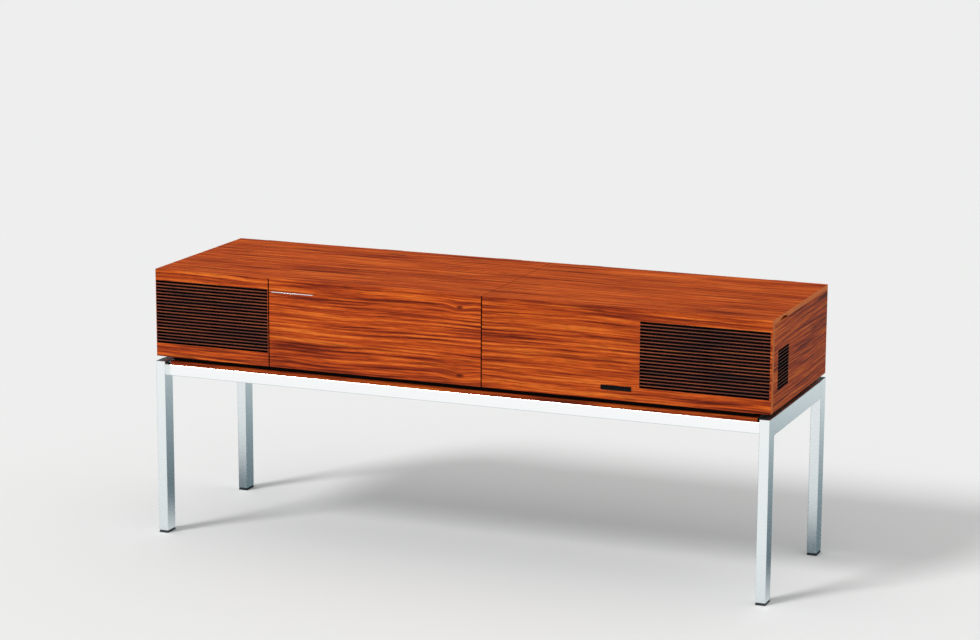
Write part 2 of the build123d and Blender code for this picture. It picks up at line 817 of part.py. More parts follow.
def radio_chassis():
    """Steel chassis: tuner box, amplifier tray, transformer, valves and socket panel."""
    t = chassis_sheet
    tuner_back = fascia_back + tuner_depth
    tuner_top = fascia_top - 2 * t
    tray_top = floor_top + amplifier_height
    panel_top = floor_top + socket_panel_height
    outline = [(fascia_back, floor_top), (socket_face, floor_top), (socket_face, panel_top),
               (socket_face - 2 * t, panel_top), (socket_face - 2 * t, tray_top),
               (tuner_back, tray_top), (tuner_back, tuner_top), (fascia_back, tuner_top)]
    body = profile_along_x(outline, chassis_left, chassis_right)
    inside = [(fascia_back + t, floor_top - 1), (socket_face - t, floor_top - 1),
              (socket_face - t, tray_top - t), (tuner_back - t, tray_top - t),
              (tuner_back - t, tuner_top - t), (fascia_back + t, tuner_top - t)]
    body -= profile_along_x(inside, chassis_left + t, chassis_right - t)
    pocket_back, pocket_top = fascia_back + dial_pocket, dial_top + guide_rod_room
    body += block(dial_left - t, dial_right + t, fascia_back, pocket_back + t, dial_bottom - t, pocket_top + t)
    body -= block(dial_left, dial_right, fascia_back - 1, pocket_back, dial_bottom, pocket_top)
    body += rod_x(dial_left, dial_right, guide_rod_y, guide_rod_z, guide_rod_radius)
    for x in [*knob_places.values(), tuning_place]:
        body -= rod_y(x, fascia_back - 1, fascia_back + t + 1, controls_z, knob_shaft_radius * 1.6, bore=True)
    bank = button_count * button_pitch / 2
    body -= block(button_bank_place - bank, button_bank_place + bank,
                  fascia_back - 1, fascia_back + t + 1, controls_z - button_height, controls_z + button_height)
    middle_y = (tuner_back + socket_face) / 2
    box_left = chassis_left + transformer_inset
    body += block(box_left, box_left + transformer_length, middle_y - transformer_width / 2,
                  middle_y + transformer_width / 2, tray_top, tray_top + transformer_height)
    first_valve = box_left + transformer_length + transformer_inset + valve_radius
    for i, x in enumerate(spread(first_valve, chassis_right - transformer_inset - valve_radius, valve_count)):
        y = middle_y + (valve_stagger if i % 2 else -valve_stagger)
        body += rod_z(x, y, tray_top, tray_top + valve_height, valve_radius, 16)
    w0, w1, _, _ = socket_window()
    for i in range(socket_count):
        x = (w0 + w1) / 2 + (i - (socket_count - 1) / 2) * socket_pitch
        body -= rod_y(x, socket_face - 2 * t, socket_face + 1, floor_top + socket_height, socket_radius, 8)
    return body


def socket_window():
    """Opening in the rear cover in front of the chassis' sockets."""
    x = radio_centre - socket_window_offset
    z = floor_top + socket_height
    half_x, half_z = socket_window_length / 2, socket_window_height / 2
    return x - half_x, x + half_x, z - half_z, z + half_z


def knob(x, radius):
    """Knob with a skirt, on a shaft that runs in the fascia."""
    shaft_end = fascia_thickness + side_play + knob_shaft_length
    solid = rod_z(0, 0, -knob_skirt, 0, radius, 24) + rod_z(0, 0, 0, shaft_end, knob_shaft_radius)
    solid += Rot(180, 0, 0) * taper(radius * 0.88, radius * 0.78, knob_skirt, knob_length)
    return Pos(x, fascia_front - side_play, controls_z) * Rot(-90, 0, 0) * solid


def dial_pointer():
    """Thin pointer on a carriage that runs along the guide rod."""
    x, y, z, h = radio_centre, guide_rod_y, guide_rod_z, carriage_size / 2
    carriage = block(x - 1.5 * h, x + 1.5 * h, y - h, y + h, z - h, z + h)
    carriage -= rod_x(x - 2 * h, x + 2 * h, y, z, guide_rod_radius + running_gap, bore=True)
    needle = block(x - pointer_width / 2, x + pointer_width / 2, y - h, y - h + pointer_width,
                   dial_bottom + h, z - h + pointer_width)
    return carriage + needle


def push_button(index):
    """Long key with a rounded nose, guided by its hole in the fascia."""
    w, h = button_width / 2, button_height / 2
    x = button_x(index)
    nose, tail = fascia_front - button_reach, fascia_back + button_tail
    key = block(x - w, x + w, nose, tail, controls_z - h, controls_z + h)
    return chamfer(key.faces().sort_by(Axis.Y)[0].edges(), button_edge)


# ---- record changer -----------------------------------------------------------------
changer_centre = (changer_left + changer_right) / 2
deck_top = bottom + motor_board_height + deck_thickness
deck_centre_y = (inner_front + rear_face - rear_rail_depth) / 2
deck_left = changer_centre - deck_length / 2
deck_right = changer_centre + deck_length / 2
platter_x = deck_left + platter_radius + platter_inset
platter_y = deck_centre_y
platter_bottom = deck_top + platter_lift
platter_top = platter_bottom + platter_height
arm_x = deck_right - arm_inset_x
arm_y = deck_centre_y + deck_depth / 2 - arm_inset_y
arm_z = platter_top + tonearm_rise


def motor_board():
    """Plywood board that carries the changer, with openings for what hangs under the deck."""
    reach = groove_depth - fit_gap
    z1 = bottom + motor_board_height
    panel = block(changer_left - reach, changer_right + reach, inner_front + fit_gap,
                  rear_face - rear_rail_depth - fit_gap, z1 - motor_board_thickness, z1)
    openings = [(*motor_place(), motor_radius), (platter_x, platter_y, 1.6 * bearing_radius),
                (arm_x, arm_y, pillar_shaft_radius), (*knob_spot(), knob_shaft_radius)]
    for x, y, radius in openings:
        half = radius + board_opening_gap
        panel -= block(x - half, x + half, y - half, y + half, z1 - motor_board_thickness - 1, z1 + 1)
    return panel


def changer_deck():
    """Pressed deck plate with its bores."""
    plate = extrude(RectangleRounded(deck_length, deck_depth, deck_corner), deck_thickness)
    plate = Pos(changer_centre, deck_centre_y, deck_top - deck_thickness) * plate
    bores = [(platter_x, platter_y, bearing_radius), (arm_x, arm_y, pillar_shaft_radius),
             (*knob_spot(), knob_shaft_radius)]
    for x, y, radius in bores:
        plate -= rod_z(x, y, deck_top - deck_thickness - 1, deck_top + 1, radius + running_gap, bore=True)
    return plate


def motor_place():
    return platter_x + motor_shift_x, platter_y + motor_shift_y


def arm_rest_place():
    return arm_x, arm_y - tonearm_length * 0.72


def knob_spot():
    return arm_x, deck_centre_y - deck_depth / 2 + changer_knob_inset


def changer_spindle():
    """Fixed centre spindle: nut under the deck, thrust collar, bearing and record pin."""
    rise = platter_lift + platter_height
    solid = rod_z(0, 0, -deck_thickness - bearing_radius, -deck_thickness, 1.6 * bearing_radius, 6)
    solid += rod_z(0, 0, -deck_thickness - bearing_radius, rise, bearing_radius)
    solid += rod_z(0, 0, 0, platter_lift - side_play, 2.8 * bearing_radius, 16)
    solid += rod_z(0, 0, rise, rise + spindle_neck, spindle_radius * 0.9)
    pin_start, pin_end = rise + spindle_neck, rise + spindle_height - spindle_tip
    solid += Pos(0, 0, (pin_start + pin_end) / 2) * Cylinder(spindle_radius, pin_end - pin_start)
    solid += taper(spindle_radius, spindle_radius / 2, pin_end, pin_end + spindle_tip, 12)
    return Pos(platter_x, platter_y, deck_top) * solid


def arm_rest():
    """Post with a saddle under the arm."""
    x, y = arm_rest_place()
    r = tonearm_radius
    saddle_top = arm_z - r - side_play
    post = rod_z(x, y, deck_top, saddle_top, r)
    return post + block(x - 2 * r, x + 2 * r, y - r, y + r, saddle_top - r, saddle_top)


def changer_motor():
    """Motor can under the deck."""
    z1 = deck_top - deck_thickness
    return rod_z(*motor_place(), z1 - motor_height, z1, motor_radius, 24)


def platter():
    """Pressed turntable: rim, web and hub in one."""
    r, h = platter_radius, platter_height
    web_under = h - platter_web
    solid = rod_z(0, 0, 0, h, r, 48) - rod_z(0, 0, -1, web_under, r - platter_rim, 48)
    solid += rod_z(0, 0, 0, web_under, 4 * bearing_radius, 16)
    solid -= rod_z(0, 0, -1, h + 1, bearing_radius + running_gap, bore=True)
    return Pos(platter_x, platter_y, platter_bottom) * solid


def tonearm_base():
    """Turning pillar with the fork that carries the arm."""
    foot_top = deck_top + pillar_foot_radius / 2
    fork_bottom = arm_z - fork_drop
    pillar = rod_z(arm_x, arm_y, deck_top - 3 * deck_thickness, deck_top + side_play, pillar_shaft_radius)
    pillar += rod_z(arm_x, arm_y, deck_top + side_play, foot_top, pillar_foot_radius, 16)
    pillar += rod_z(arm_x, arm_y, foot_top, fork_bottom, pillar_radius, 16)
    x0, x1 = arm_x - fork_width / 2, arm_x + fork_width / 2
    y0, y1 = arm_y - fork_depth / 2, arm_y + fork_depth / 2
    pillar += block(x0, x1, y0, y1, fork_bottom, fork_bottom + fork_cheek)
    pillar += block(x0, x0 + fork_cheek, y0, y1, fork_bottom, arm_z + fork_rise)
    pillar += block(x1 - fork_cheek, x1, y0, y1, fork_bottom, arm_z + fork_rise)
    return pillar - rod_x(x0 - 1, x1 + 1, arm_y, arm_z, arm_pin_radius + running_gap, bore=True)


def tonearm():
    """Arm tube with pivot pins, counterweight and pick-up head."""
    weight_end = arm_y + counterweight_near + counterweight_length
    inside = fork_width / 2 - fork_cheek - side_play
    tip = arm_y - tonearm_length
    tube = rod_y(arm_x, tip + head_length / 2, weight_end - arm_hub_radius, arm_z, tonearm_radius)
    tube += rod_y(arm_x, arm_y + counterweight_near, weight_end, arm_z, counterweight_radius, 16)
    tube += rod_x(arm_x - fork_width / 2, arm_x + fork_width / 2, arm_y, arm_z, arm_pin_radius)
    tube += rod_x(arm_x - inside, arm_x + inside, arm_y, arm_z, arm_hub_radius)
    nose, heel = tip - head_length * 0.3, tip + head_length * 0.7
    low, high = arm_z + tonearm_radius - head_height, arm_z + tonearm_radius
    head = [(nose, high), (nose, low + head_height * 0.4), (tip, low), (tip + head_length * 0.25, low),
            (heel, low + head_height * 0.4), (heel, high)]
    return tube + profile_along_x(head, arm_x - head_width / 2, arm_x + head_width / 2)


def changer_knob():
    """Start and stop control at the deck's front corner."""
    r, h = changer_knob_radius, changer_knob_height
    solid = rod_z(0, 0, -3 * deck_thickness, side_play, knob_shaft_radius)
    solid += rod_z(0, 0, side_play, h * 0.3, r, 24) + taper(r * 0.85, r * 0.75, h * 0.3, h)
    return Pos(*knob_spot(), deck_top) * solid


# ---- fixing screws ------------------------------------------------------------------
def screw(length):
    """Pan-head screw along +Z, its head under Z = 0."""
    return rod_z(0, 0, 0, length, screw_radius, 6) + rod_z(0, 0, -screw_head_height, 0, screw_head_radius, 8)


def fixing_screws():
    screws = []
    rail_bottom = long_rail_top - long_rail_height
    for x in rail_screw_places():
        for y in rail_screw_rows():
            screws.append(Pos(x, y, rail_bottom) * screw(long_rail_height + screw_bite - 1))
    for z in cover_screw_rows():
        for x in cover_screw_places():
            screws.append(Pos(x, back, z) * Rot(90, 0, 0) * screw(rear_board + screw_bite - 1))
    return screws


# ---- nodes --------------------------------------------------------------------------
left_stay = (radio_left, 1)
right_stay = (changer_right, -1)

nodes = {
    "leg_front_left": leg(-1, -1),
    "leg_front_right": leg(1, -1),
    "leg_rear_left": leg(-1, 1),
    "leg_rear_right": leg(1, 1),
    "side_rail_left": side_rail(-1),
    "side_rail_right": side_rail(1),
    "front_rail": long_rail(-1),
    "rear_rail": long_rail(1),
    "leg_glides": leg_glides(),
    "plinth_frame": plinth_frame(),
    "shadow_strip": shadow_strip(),
    "fixing_screws": fixing_screws(),
    "bottom_board": bottom_board(),
    "side_panel_left": side_panel(-1),
    "side_panel_right": side_panel(1),
    "speaker_front_left": speaker_front_left(),
    "front_panel_right": front_panel_right(),
    "left_partition": left_partition(),
    "middle_partition": middle_partition(),
    "right_partition": right_partition(),
    "rear_top_rail": rear_top_rail(),
    "rear_cover": rear_cover(),
    "chamber_covers": chamber_covers(),
    "grille_cloths": grille_cloths(),
    "woofer_baskets": woofer_baskets(),
    "woofer_cones": woofer_cones(),
    "tweeters": tweeters(),
    "lid_board_left": lid_board_left(),
    "lid_flap": lid_flap(),
    "lid_board_right": lid_board_right(),
    "hinge_leaves_fixed": [hinge_leaf_with_knuckles(x, False) for x in all_hinge_places()],
    "hinge_leaves_left": [hinge_leaf_with_knuckles(x, True) for x in hinge_places_left()],
    "hinge_leaves_right": [hinge_leaf_with_knuckles(x, True) for x in hinge_places_right()],
    "stay_arm_left": stay_arm(*left_stay),
    "stay_arm_right": stay_arm(*right_stay),
    "stay_track_left": stay_track(*left_stay),
    "stay_track_right": stay_track(*right_stay),
    "stay_pivots": [stay_pivot(*left_stay), stay_pivot(*right_stay)],
    "radio_chassis": radio_chassis(),
    "radio_fascia": radio_fascia(),
    "dial_glass": dial_glass(),
    "dial_pointer": dial_pointer(),
    "tuning_knob": knob(tuning_place, tuning_knob_radius),
    "motor_board": motor_board(),
    "changer_deck": changer_deck(),
    "changer_spindle": changer_spindle(),
    "arm_rest": arm_rest(),
    "changer_motor": changer_motor(),
    "platter": platter(),
    "tonearm_base": tonearm_base(),
    "tonearm": tonearm(),
    "changer_knob": changer_knob(),
}
for name, x in knob_places.items():
    nodes[name] = knob(x, knob_radius)
for i in range(button_count):
    nodes[f"push_button_{i + 1}"] = push_button(i)

os.makedirs("parts", exist_ok=True)
for name, piece in nodes.items():
    solids = piece if isinstance(piece, list) else [piece]
    export_step(Compound(children=[s for piece in solids for s in piece.solids()]), f"parts/{name}.step")
print(len(nodes), "nodes written")
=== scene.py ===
import bpy
import bmesh
import math
from functools import partial
from mathutils import Matrix, Vector


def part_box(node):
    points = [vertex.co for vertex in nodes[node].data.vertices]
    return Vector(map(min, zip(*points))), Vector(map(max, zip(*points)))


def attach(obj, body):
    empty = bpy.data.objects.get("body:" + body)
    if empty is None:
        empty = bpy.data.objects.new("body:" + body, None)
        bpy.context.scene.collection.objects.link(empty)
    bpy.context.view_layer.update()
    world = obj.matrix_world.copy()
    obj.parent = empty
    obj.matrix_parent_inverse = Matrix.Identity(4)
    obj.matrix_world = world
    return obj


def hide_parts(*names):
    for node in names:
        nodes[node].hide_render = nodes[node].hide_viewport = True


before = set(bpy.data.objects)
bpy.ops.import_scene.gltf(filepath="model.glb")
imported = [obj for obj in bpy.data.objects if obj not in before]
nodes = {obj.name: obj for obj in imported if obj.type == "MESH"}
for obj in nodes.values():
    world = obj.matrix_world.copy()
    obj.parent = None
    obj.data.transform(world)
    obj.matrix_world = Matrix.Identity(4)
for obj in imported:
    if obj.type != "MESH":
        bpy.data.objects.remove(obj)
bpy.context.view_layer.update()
quarter = math.pi / 2
print("frame loaded:", len(nodes), "nodes")


def mm(value):
    return value / 1000


def ends(node):
    # lowest and highest corner of a node at rest, in mm
    return [[value * 1000 for value in corner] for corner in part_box(node)]


def middle(node):
    low, high = ends(node)
    return [(a + b) / 2 for a, b in zip(low, high)]


def srgb(code):
    # hex sRGB to linear, for a colour socket
    parts = [int(code[i:i + 2], 16) / 255 for i in (1, 3, 5)]
    return tuple(c / 12.92 if c <= 0.04045 else ((c + 0.055) / 1.055) ** 2.4 for c in parts) + (1,)


def plug(node, inputs):
    # sets or links a node's sockets; a list in their order or a dict, of values, nodes or sockets
    for name, value in (inputs.items() if isinstance(inputs, dict) else enumerate(inputs)):
        named = [s for s in node.inputs if s.name == name and s.enabled]
        socket = named[0] if named else node.inputs[name]
        if isinstance(value, bpy.types.Node):
            value = next(s for s in value.outputs if s.enabled)
        if isinstance(value, bpy.types.NodeSocket):
            node.id_data.links.new(value, socket)
        else:
            socket.default_value = value


def addNode(tree, kind, inputs=(), stops=(), **settings):
    # adds a shader node with its settings and links; stops are a ramp's places and colours
    made = tree.nodes.new("ShaderNode" + kind)
    for name, value in settings.items():
        setattr(made, name, value)
    for i, (place, tone) in enumerate(stops):
        elements = made.color_ramp.elements
        element = elements[i] if i < len(elements) else elements.new(place)
        element.position = place
        element.color = srgb(tone) if isinstance(tone, str) else (tone, tone, tone, 1)
    plug(made, inputs)
    return made


def newMaterial(name):
    # an empty material, the function that adds its nodes, and its Principled shader
    material = bpy.data.materials.new(name)
    material.use_nodes = True
    material.node_tree.nodes.clear()
    add = partial(addNode, material.node_tree)
    shader = add("BsdfPrincipled")
    add("OutputMaterial", [shader])
    return material, add, shader


def put(material, *names):
    # gives CAD nodes one material
    for name in names:
        nodes[name].data.materials.clear()
        nodes[name].data.materials.append(material)


# veneer
veneerLook = {
    # walnut under amber lacquer, from late wood to the palest early wood
    "tones": [(0, "#5C1E10"), (0.24, "#85301A"), (0.48, "#AC441B"), (0.72, "#C9581F"), (1, "#DA6F2A")],
    "toneRange": (0.35, 0.63),
    # spacing across the grain in mm, stretch, detail, roughness and share of the tone
    "streaks": [(46, 1.1, 2, 0.5, 0.14),     # light and dark bands of the flitch
                (7, 1.8, 2, 0.55, 0.30),     # growth lines
                (3.2, 3.6, 2, 0.6, 0.56)],     # the finest lines
    "veins": (19, 1.3, 1, 0.4),              # the darkest growth lines
    "vein": "#421610",
    "veinWidth": 0.035,      # how near its middle value the slow noise turns dark
    "veinDepth": (0.52, 0.14),                   # in dark bands and in light ones
    "bandLength": 900,     # mm along the grain
    "heart": (0, 1.3, -0.6),                   # m, the heart of the log that the rings lie round
    "wander": 18.4,          # mm that a line strays at most
    "wanderScale": (1.9, 3.4, 3.4),
    "poreCount": 30,       # pore dashes to a metre of length
    "poreWidth": 1.8,        # mm; real pores are 0.3 mm, drawn coarse enough to show
    "poreShade": (0.60, 1.07),
    "poreDepth": 0.05,       # mm
    "lipping": "#CC6E34",    # solid strip on the outer board ends
    "lipGrain": (0, 260, 60),
    "seam": "#0E0806",       # painted shade: near black on the board edges inside the joints and on the plinth ends
    "slatStainAndShade": "#4A3E3C",  # grey-brown over the slats, partly dark stain and partly painted shade from the slots
    "slatCover": 0.62,       # how much of the wood the grey-brown hides
    # painted shade: the slot walls behind the slats are drawn near black
    "slotShadeBlack": "#060505",
    "roughness": 0.5,        # satin nitro lacquer
    "gloss": 0.03,           # the lacquer is cut back, so it barely mirrors
}


def veneer(name, look, turn=(0, 0, 0), shift=(0, 0, 0), tint=1, slots=None, lipped=("X", -9, 9),
           knots=()):
    # walnut veneer under satin lacquer: long, nearly straight growth lines, fine pores, a soft sheen
    material, add, shader = newMaterial(name)
    coords = add("TexCoord")
    place = coords.outputs["Object"]
    places = add("SeparateXYZ", [place])
    sheet = add("Mapping", {"Vector": place, "Rotation": turn, "Location": shift})
    # slow warp that makes the lines wander
    slow = add("VectorMath", [sheet, look["wanderScale"]], operation="MULTIPLY")
    wander = add("TexNoise", {"Vector": slow, "Scale": 1, "Detail": 2.5, "Roughness": 0.45})
    centred = add("VectorMath", [wander.outputs["Color"], (0.5, 0.5, 0.5)], operation="SUBTRACT")
    most = mm(look["wander"])
    strayed = add("VectorMath", [centred, (0, most, most)], operation="MULTIPLY")
    warped = add("VectorMath", [sheet, strayed], operation="ADD")
    # pin knots: the lines swell round them and darken
    knotDark = None
    for x, z, wide, lift in knots:
        away = add("VectorMath", [place, (mm(x), 0, mm(z))], operation="SUBTRACT")
        scaled = add("VectorMath", [away, (1 / mm(wide), 0, 2.2 / mm(wide))], operation="MULTIPLY")
        reach = add("VectorMath", [scaled], operation="LENGTH")
        core = add("MapRange", [reach, 0.25, 1.1, 0.85, 0], interpolation_type="SMOOTHSTEP")
        bend = add("MapRange", [reach, 0, 4, mm(lift), 0], interpolation_type="SMOOTHSTEP")
        warped = add("VectorMath", [warped, add("CombineXYZ", {"Z": bend})], operation="ADD")
        knotDark = add("Math", [knotDark, core], operation="MAXIMUM") if knotDark else core
    # distance from the heart of the log, which lies far off along the grain
    parts = add("SeparateXYZ", [warped])
    across = add("CombineXYZ", {"Y": parts.outputs["Y"], "Z": parts.outputs["Z"]})
    ring = add("VectorMath", [across, look["heart"]], operation="DISTANCE")
    along = add("Math", [parts.outputs["X"], 1000 / look["bandLength"]], operation="MULTIPLY")

    def streaks(spacing, stretch, detail, roughness):
        side = add("Math", [ring, 1000 / spacing], operation="MULTIPLY")
        length = add("Math", [along, stretch], operation="MULTIPLY")
        return add("TexNoise", {"Vector": add("CombineXYZ", [length, side]), "Scale": 1, "Detail": detail,
                                "Roughness": roughness}, noise_dimensions="2D")

    # the three add up to one tone, so dark lines are also redder
    layers = [streaks(*row[:4]) for row in look["streaks"]]
    shares = [row[4] for row in look["streaks"]]
    toned = add("Math", [layers[0], shares[0]], operation="MULTIPLY")
    for layer, share in zip(layers[1:], shares[1:]):
        toned = add("Math", [layer, share, toned], operation="MULTIPLY_ADD")
    tone = add("MapRange", [toned, *look["toneRange"]])
    wood = add("ValToRGB", [tone], stops=look["tones"])
    # dark line where the slow noise passes its middle value, stronger in the dark bands
    away = add("Math", [streaks(*look["veins"]), 0.5], operation="SUBTRACT")
    size = add("Math", [away], operation="ABSOLUTE")
    veinLine = add("MapRange", [size, 0, look["veinWidth"], 1, 0], interpolation_type="SMOOTHSTEP")
    veinDepth = add("MapRange", [layers[0], 0.35, 0.65, *look["veinDepth"]])
    veinMask = add("Math", [veinLine, veinDepth], operation="MULTIPLY")
    if knotDark:
        veinMask = add("Math", [veinMask, knotDark], operation="MAXIMUM")
    veined = add("Mix", {"Factor": veinMask, "A": wood, "B": srgb(look["vein"])}, data_type="RGBA")
    # pores: short dark dashes along the grain
    wide = 1000 / look["poreWidth"]
    thin = add("VectorMath", [warped, (look["poreCount"], wide, wide)], operation="MULTIPLY")
    pores = add("TexNoise", {"Vector": thin, "Scale": 1, "Detail": 4, "Roughness": 0.68})
    poreMask = add("MapRange", [pores, 0.34, 0.56, *look["poreShade"]])
    pored = add("VectorMath", {0: veined, "Scale": poreMask}, operation="SCALE")
    # faces that cut the grain: pale solid lipping outside, painted shade in near black inside the joints and
    # on the plinth ends
    facing = add("Mapping", {"Vector": coords.outputs["Normal"], "Rotation": turn}, vector_type="VECTOR")
    endOn = add("Math", [add("SeparateXYZ", [facing]).outputs["X"]], operation="ABSOLUTE")
    endMask = add("Math", [endOn, 0.8], operation="GREATER_THAN")
    lipPlace = add("VectorMath", [sheet, look["lipGrain"]], operation="MULTIPLY")
    lipNoise = add("TexNoise", {"Vector": lipPlace, "Scale": 1, "Detail": 3, "Roughness": 0.6})
    lipShade = add("MapRange", [lipNoise, 0.3, 0.7, 0.7, 1.15])
    lip = add("VectorMath", {0: srgb(look["lipping"])[:3], "Scale": lipShade}, operation="SCALE")
    axis, low, high = lipped
    under = add("Math", [places.outputs[axis], low], operation="LESS_THAN")
    over = add("Math", [places.outputs[axis], high], operation="GREATER_THAN")
    outer = add("Math", [under, over], operation="MAXIMUM")
    ended = add("Mix", {"Factor": outer, "A": srgb(look["seam"]), "B": lip}, data_type="RGBA")
    faced = add("Mix", {"Factor": endMask, "A": pored, "B": ended}, data_type="RGBA")
    # tint scales the whole colour; the veneer table uses it for painted light and painted shade
    colour = add("VectorMath", {0: faced, "Scale": tint}, operation="SCALE")
    if slots:
        # painted shade: the slot walls behind the faces of the slats are drawn near black, and the slats get
        # a grey-brown that is partly stain and partly painted shade
        def within(limits):
            inside = None
            for axis, *pair in limits:
                for limit, operation in zip(pair, ("GREATER_THAN", "LESS_THAN")):
                    test = add("Math", [places.outputs[axis], limit], operation=operation)
                    inside = add("Math", [inside, test], operation="MULTIPLY") if inside else test
            return inside

        stained = add("Math", [within(slots["slats"]), look["slatCover"]], operation="MULTIPLY")
        for mask, code in ((stained, look["slatStainAndShade"]), (within(slots["inside"]), look["slotShadeBlack"])):
            colour = add("Mix", {"Factor": mask, "A": colour, "B": srgb(code)}, data_type="RGBA")
    bump = add("Bump", {"Height": pores, "Strength": 0.35, "Distance": mm(look["poreDepth"])})
    plug(shader, {"Base Color": colour, "Normal": bump, "Roughness": look["roughness"],
                  "Specular IOR Level": look["gloss"]})
    return material


grilleLook = {"pitch": 8.1, "slat": 2.5, "skin": 0.25, "depth": 16.2, "spare": 0.4, "frontDrop": 28.5,
              "frontSlots": 20, "endDrop": 80, "endSlots": 12, "rightMargin": 4.5, "rightWidth": 320.8,
              "leftMargin": 1.5, "endSetback": 49, "endLength": 88}
cabinetTop = ends("lid_board_left")[1][2]
cabinetFront = ends("front_panel_right")[0][1]
leftEnd, leftInner = [corner[0] for corner in ends("speaker_front_left")]
rightEnd = ends("front_panel_right")[1][0]


def slotArea(look, where, acrossAxis, across, faceAxis, face):
    # where the slats are, and where the slots run behind them; lists of axis and limits
    into = look["depth"] if face < 0 else -look["depth"]
    skin = math.copysign(look["skin"], into)
    high = cabinetTop - look[where + "Drop"]
    low = high - look[where + "Slots"] * look["pitch"] + look["slat"]
    around = [(axis, mm(a - look["spare"]), mm(b + look["spare"])) for axis, (a, b) in
              ((acrossAxis, across), ("Z", (low, high)))]
    area = {}
    for name, start in (("slats", face - 2 * skin), ("inside", face + skin)):
        low, high = sorted((start, face + into))
        area[name] = around + [(faceAxis, mm(low), mm(high))]
    return area


leftReach = (leftEnd + grilleLook["leftMargin"], leftInner - grilleLook["leftMargin"])
rightReach = (rightEnd - grilleLook["rightWidth"], rightEnd - grilleLook["rightMargin"])
endStart = cabinetFront + grilleLook["endSetback"]
endReach = (endStart, endStart + grilleLook["endLength"])
grilles = {
    "left": slotArea(grilleLook, "front", "X", leftReach, "Y", cabinetFront),
    "right": slotArea(grilleLook, "front", "X", rightReach, "Y", cabinetFront),
    "endLeft": slotArea(grilleLook, "end", "Y", endReach, "X", -rightEnd),
    "endRight": slotArea(grilleLook, "end", "Y", endReach, "X", rightEnd),
}
outerEnds = ("X", mm(-rightEnd + 1), mm(rightEnd - 1))
backEdge = ("Y", -9, mm(ends("side_panel_left")[1][1] - 1))
# pin knots in mm: x, z, half length and how far the lines bend round them
knotLook = ((23, 648, 12, 7), (23, 481, 15, 7))
endLook = veneerLook | {"slatStainAndShade": "#2E2827", "slatCover": 0.8}    # painted shade: the end slats lie in shade and are drawn darker
endTurn = (0, 0, quarter)
# tint: the two lids drawn lighter as painted light on the top, the end panels drawn darker as painted shade,
# the right front and the plinth drawn darker
veneers = {
    "lid_board_left": ("LeftLid", veneerLook, {"tint": 1.08, "lipped": outerEnds}),
    "lid_board_right": ("RightLid", veneerLook, {"shift": (0, 0.004, 0), "tint": 1.04,
                                                 "lipped": outerEnds}),
    "lid_flap": ("Flap", veneerLook, {"lipped": outerEnds, "knots": knotLook}),
    "speaker_front_left": ("LeftFront", veneerLook, {"slots": grilles["left"], "lipped": outerEnds}),
    "front_panel_right": ("RightFront", veneerLook, {"shift": (0, 0, 0.004), "tint": 0.93,
                                                     "slots": grilles["right"], "lipped": outerEnds}),
    "side_panel_left": ("LeftEnd", endLook, {"turn": endTurn, "shift": (0.3, 0.1, 0.1), "tint": 0.9,
                                             "slots": grilles["endLeft"], "lipped": backEdge}),
    "side_panel_right": ("RightEnd", endLook, {"turn": endTurn, "shift": (0.9, 0.2, 0.1), "tint": 0.84,
                                               "slots": grilles["endRight"], "lipped": backEdge}),
    "plinth_frame": ("Plinth", veneerLook, {"shift": (0.4, 0, 0.2), "tint": 0.66}),
}
for node, (name, look, options) in veneers.items():
    put(veneer("walnutVeneer" + name, look, **options), node)
print("veneer done")


# plain finishes
def satinChrome(name, code, low, high):
    # matt chromed steel tube: almost white where it faces the light, cool grey on its shaded sides,
    # with soft-edged reflections from the fine brushing under the plating
    material, add, shader = newMaterial(name)
    # brushing is under 0.1 mm, drawn 3 mm wide so that it shows
    grain = add("TexNoise", {"Vector": add("TexCoord").outputs["Object"], "Scale": 1000 / 3,
                             "Detail": 3, "Roughness": 0.6})
    bump = add("Bump", {"Height": grain, "Strength": 0.08, "Distance": mm(0.02)})
    plug(shader, {"Base Color": srgb(code), "Metallic": 1, "Normal": bump,
                  "Roughness": add("MapRange", [grain, 0.3, 0.7, low, high])})
    return material


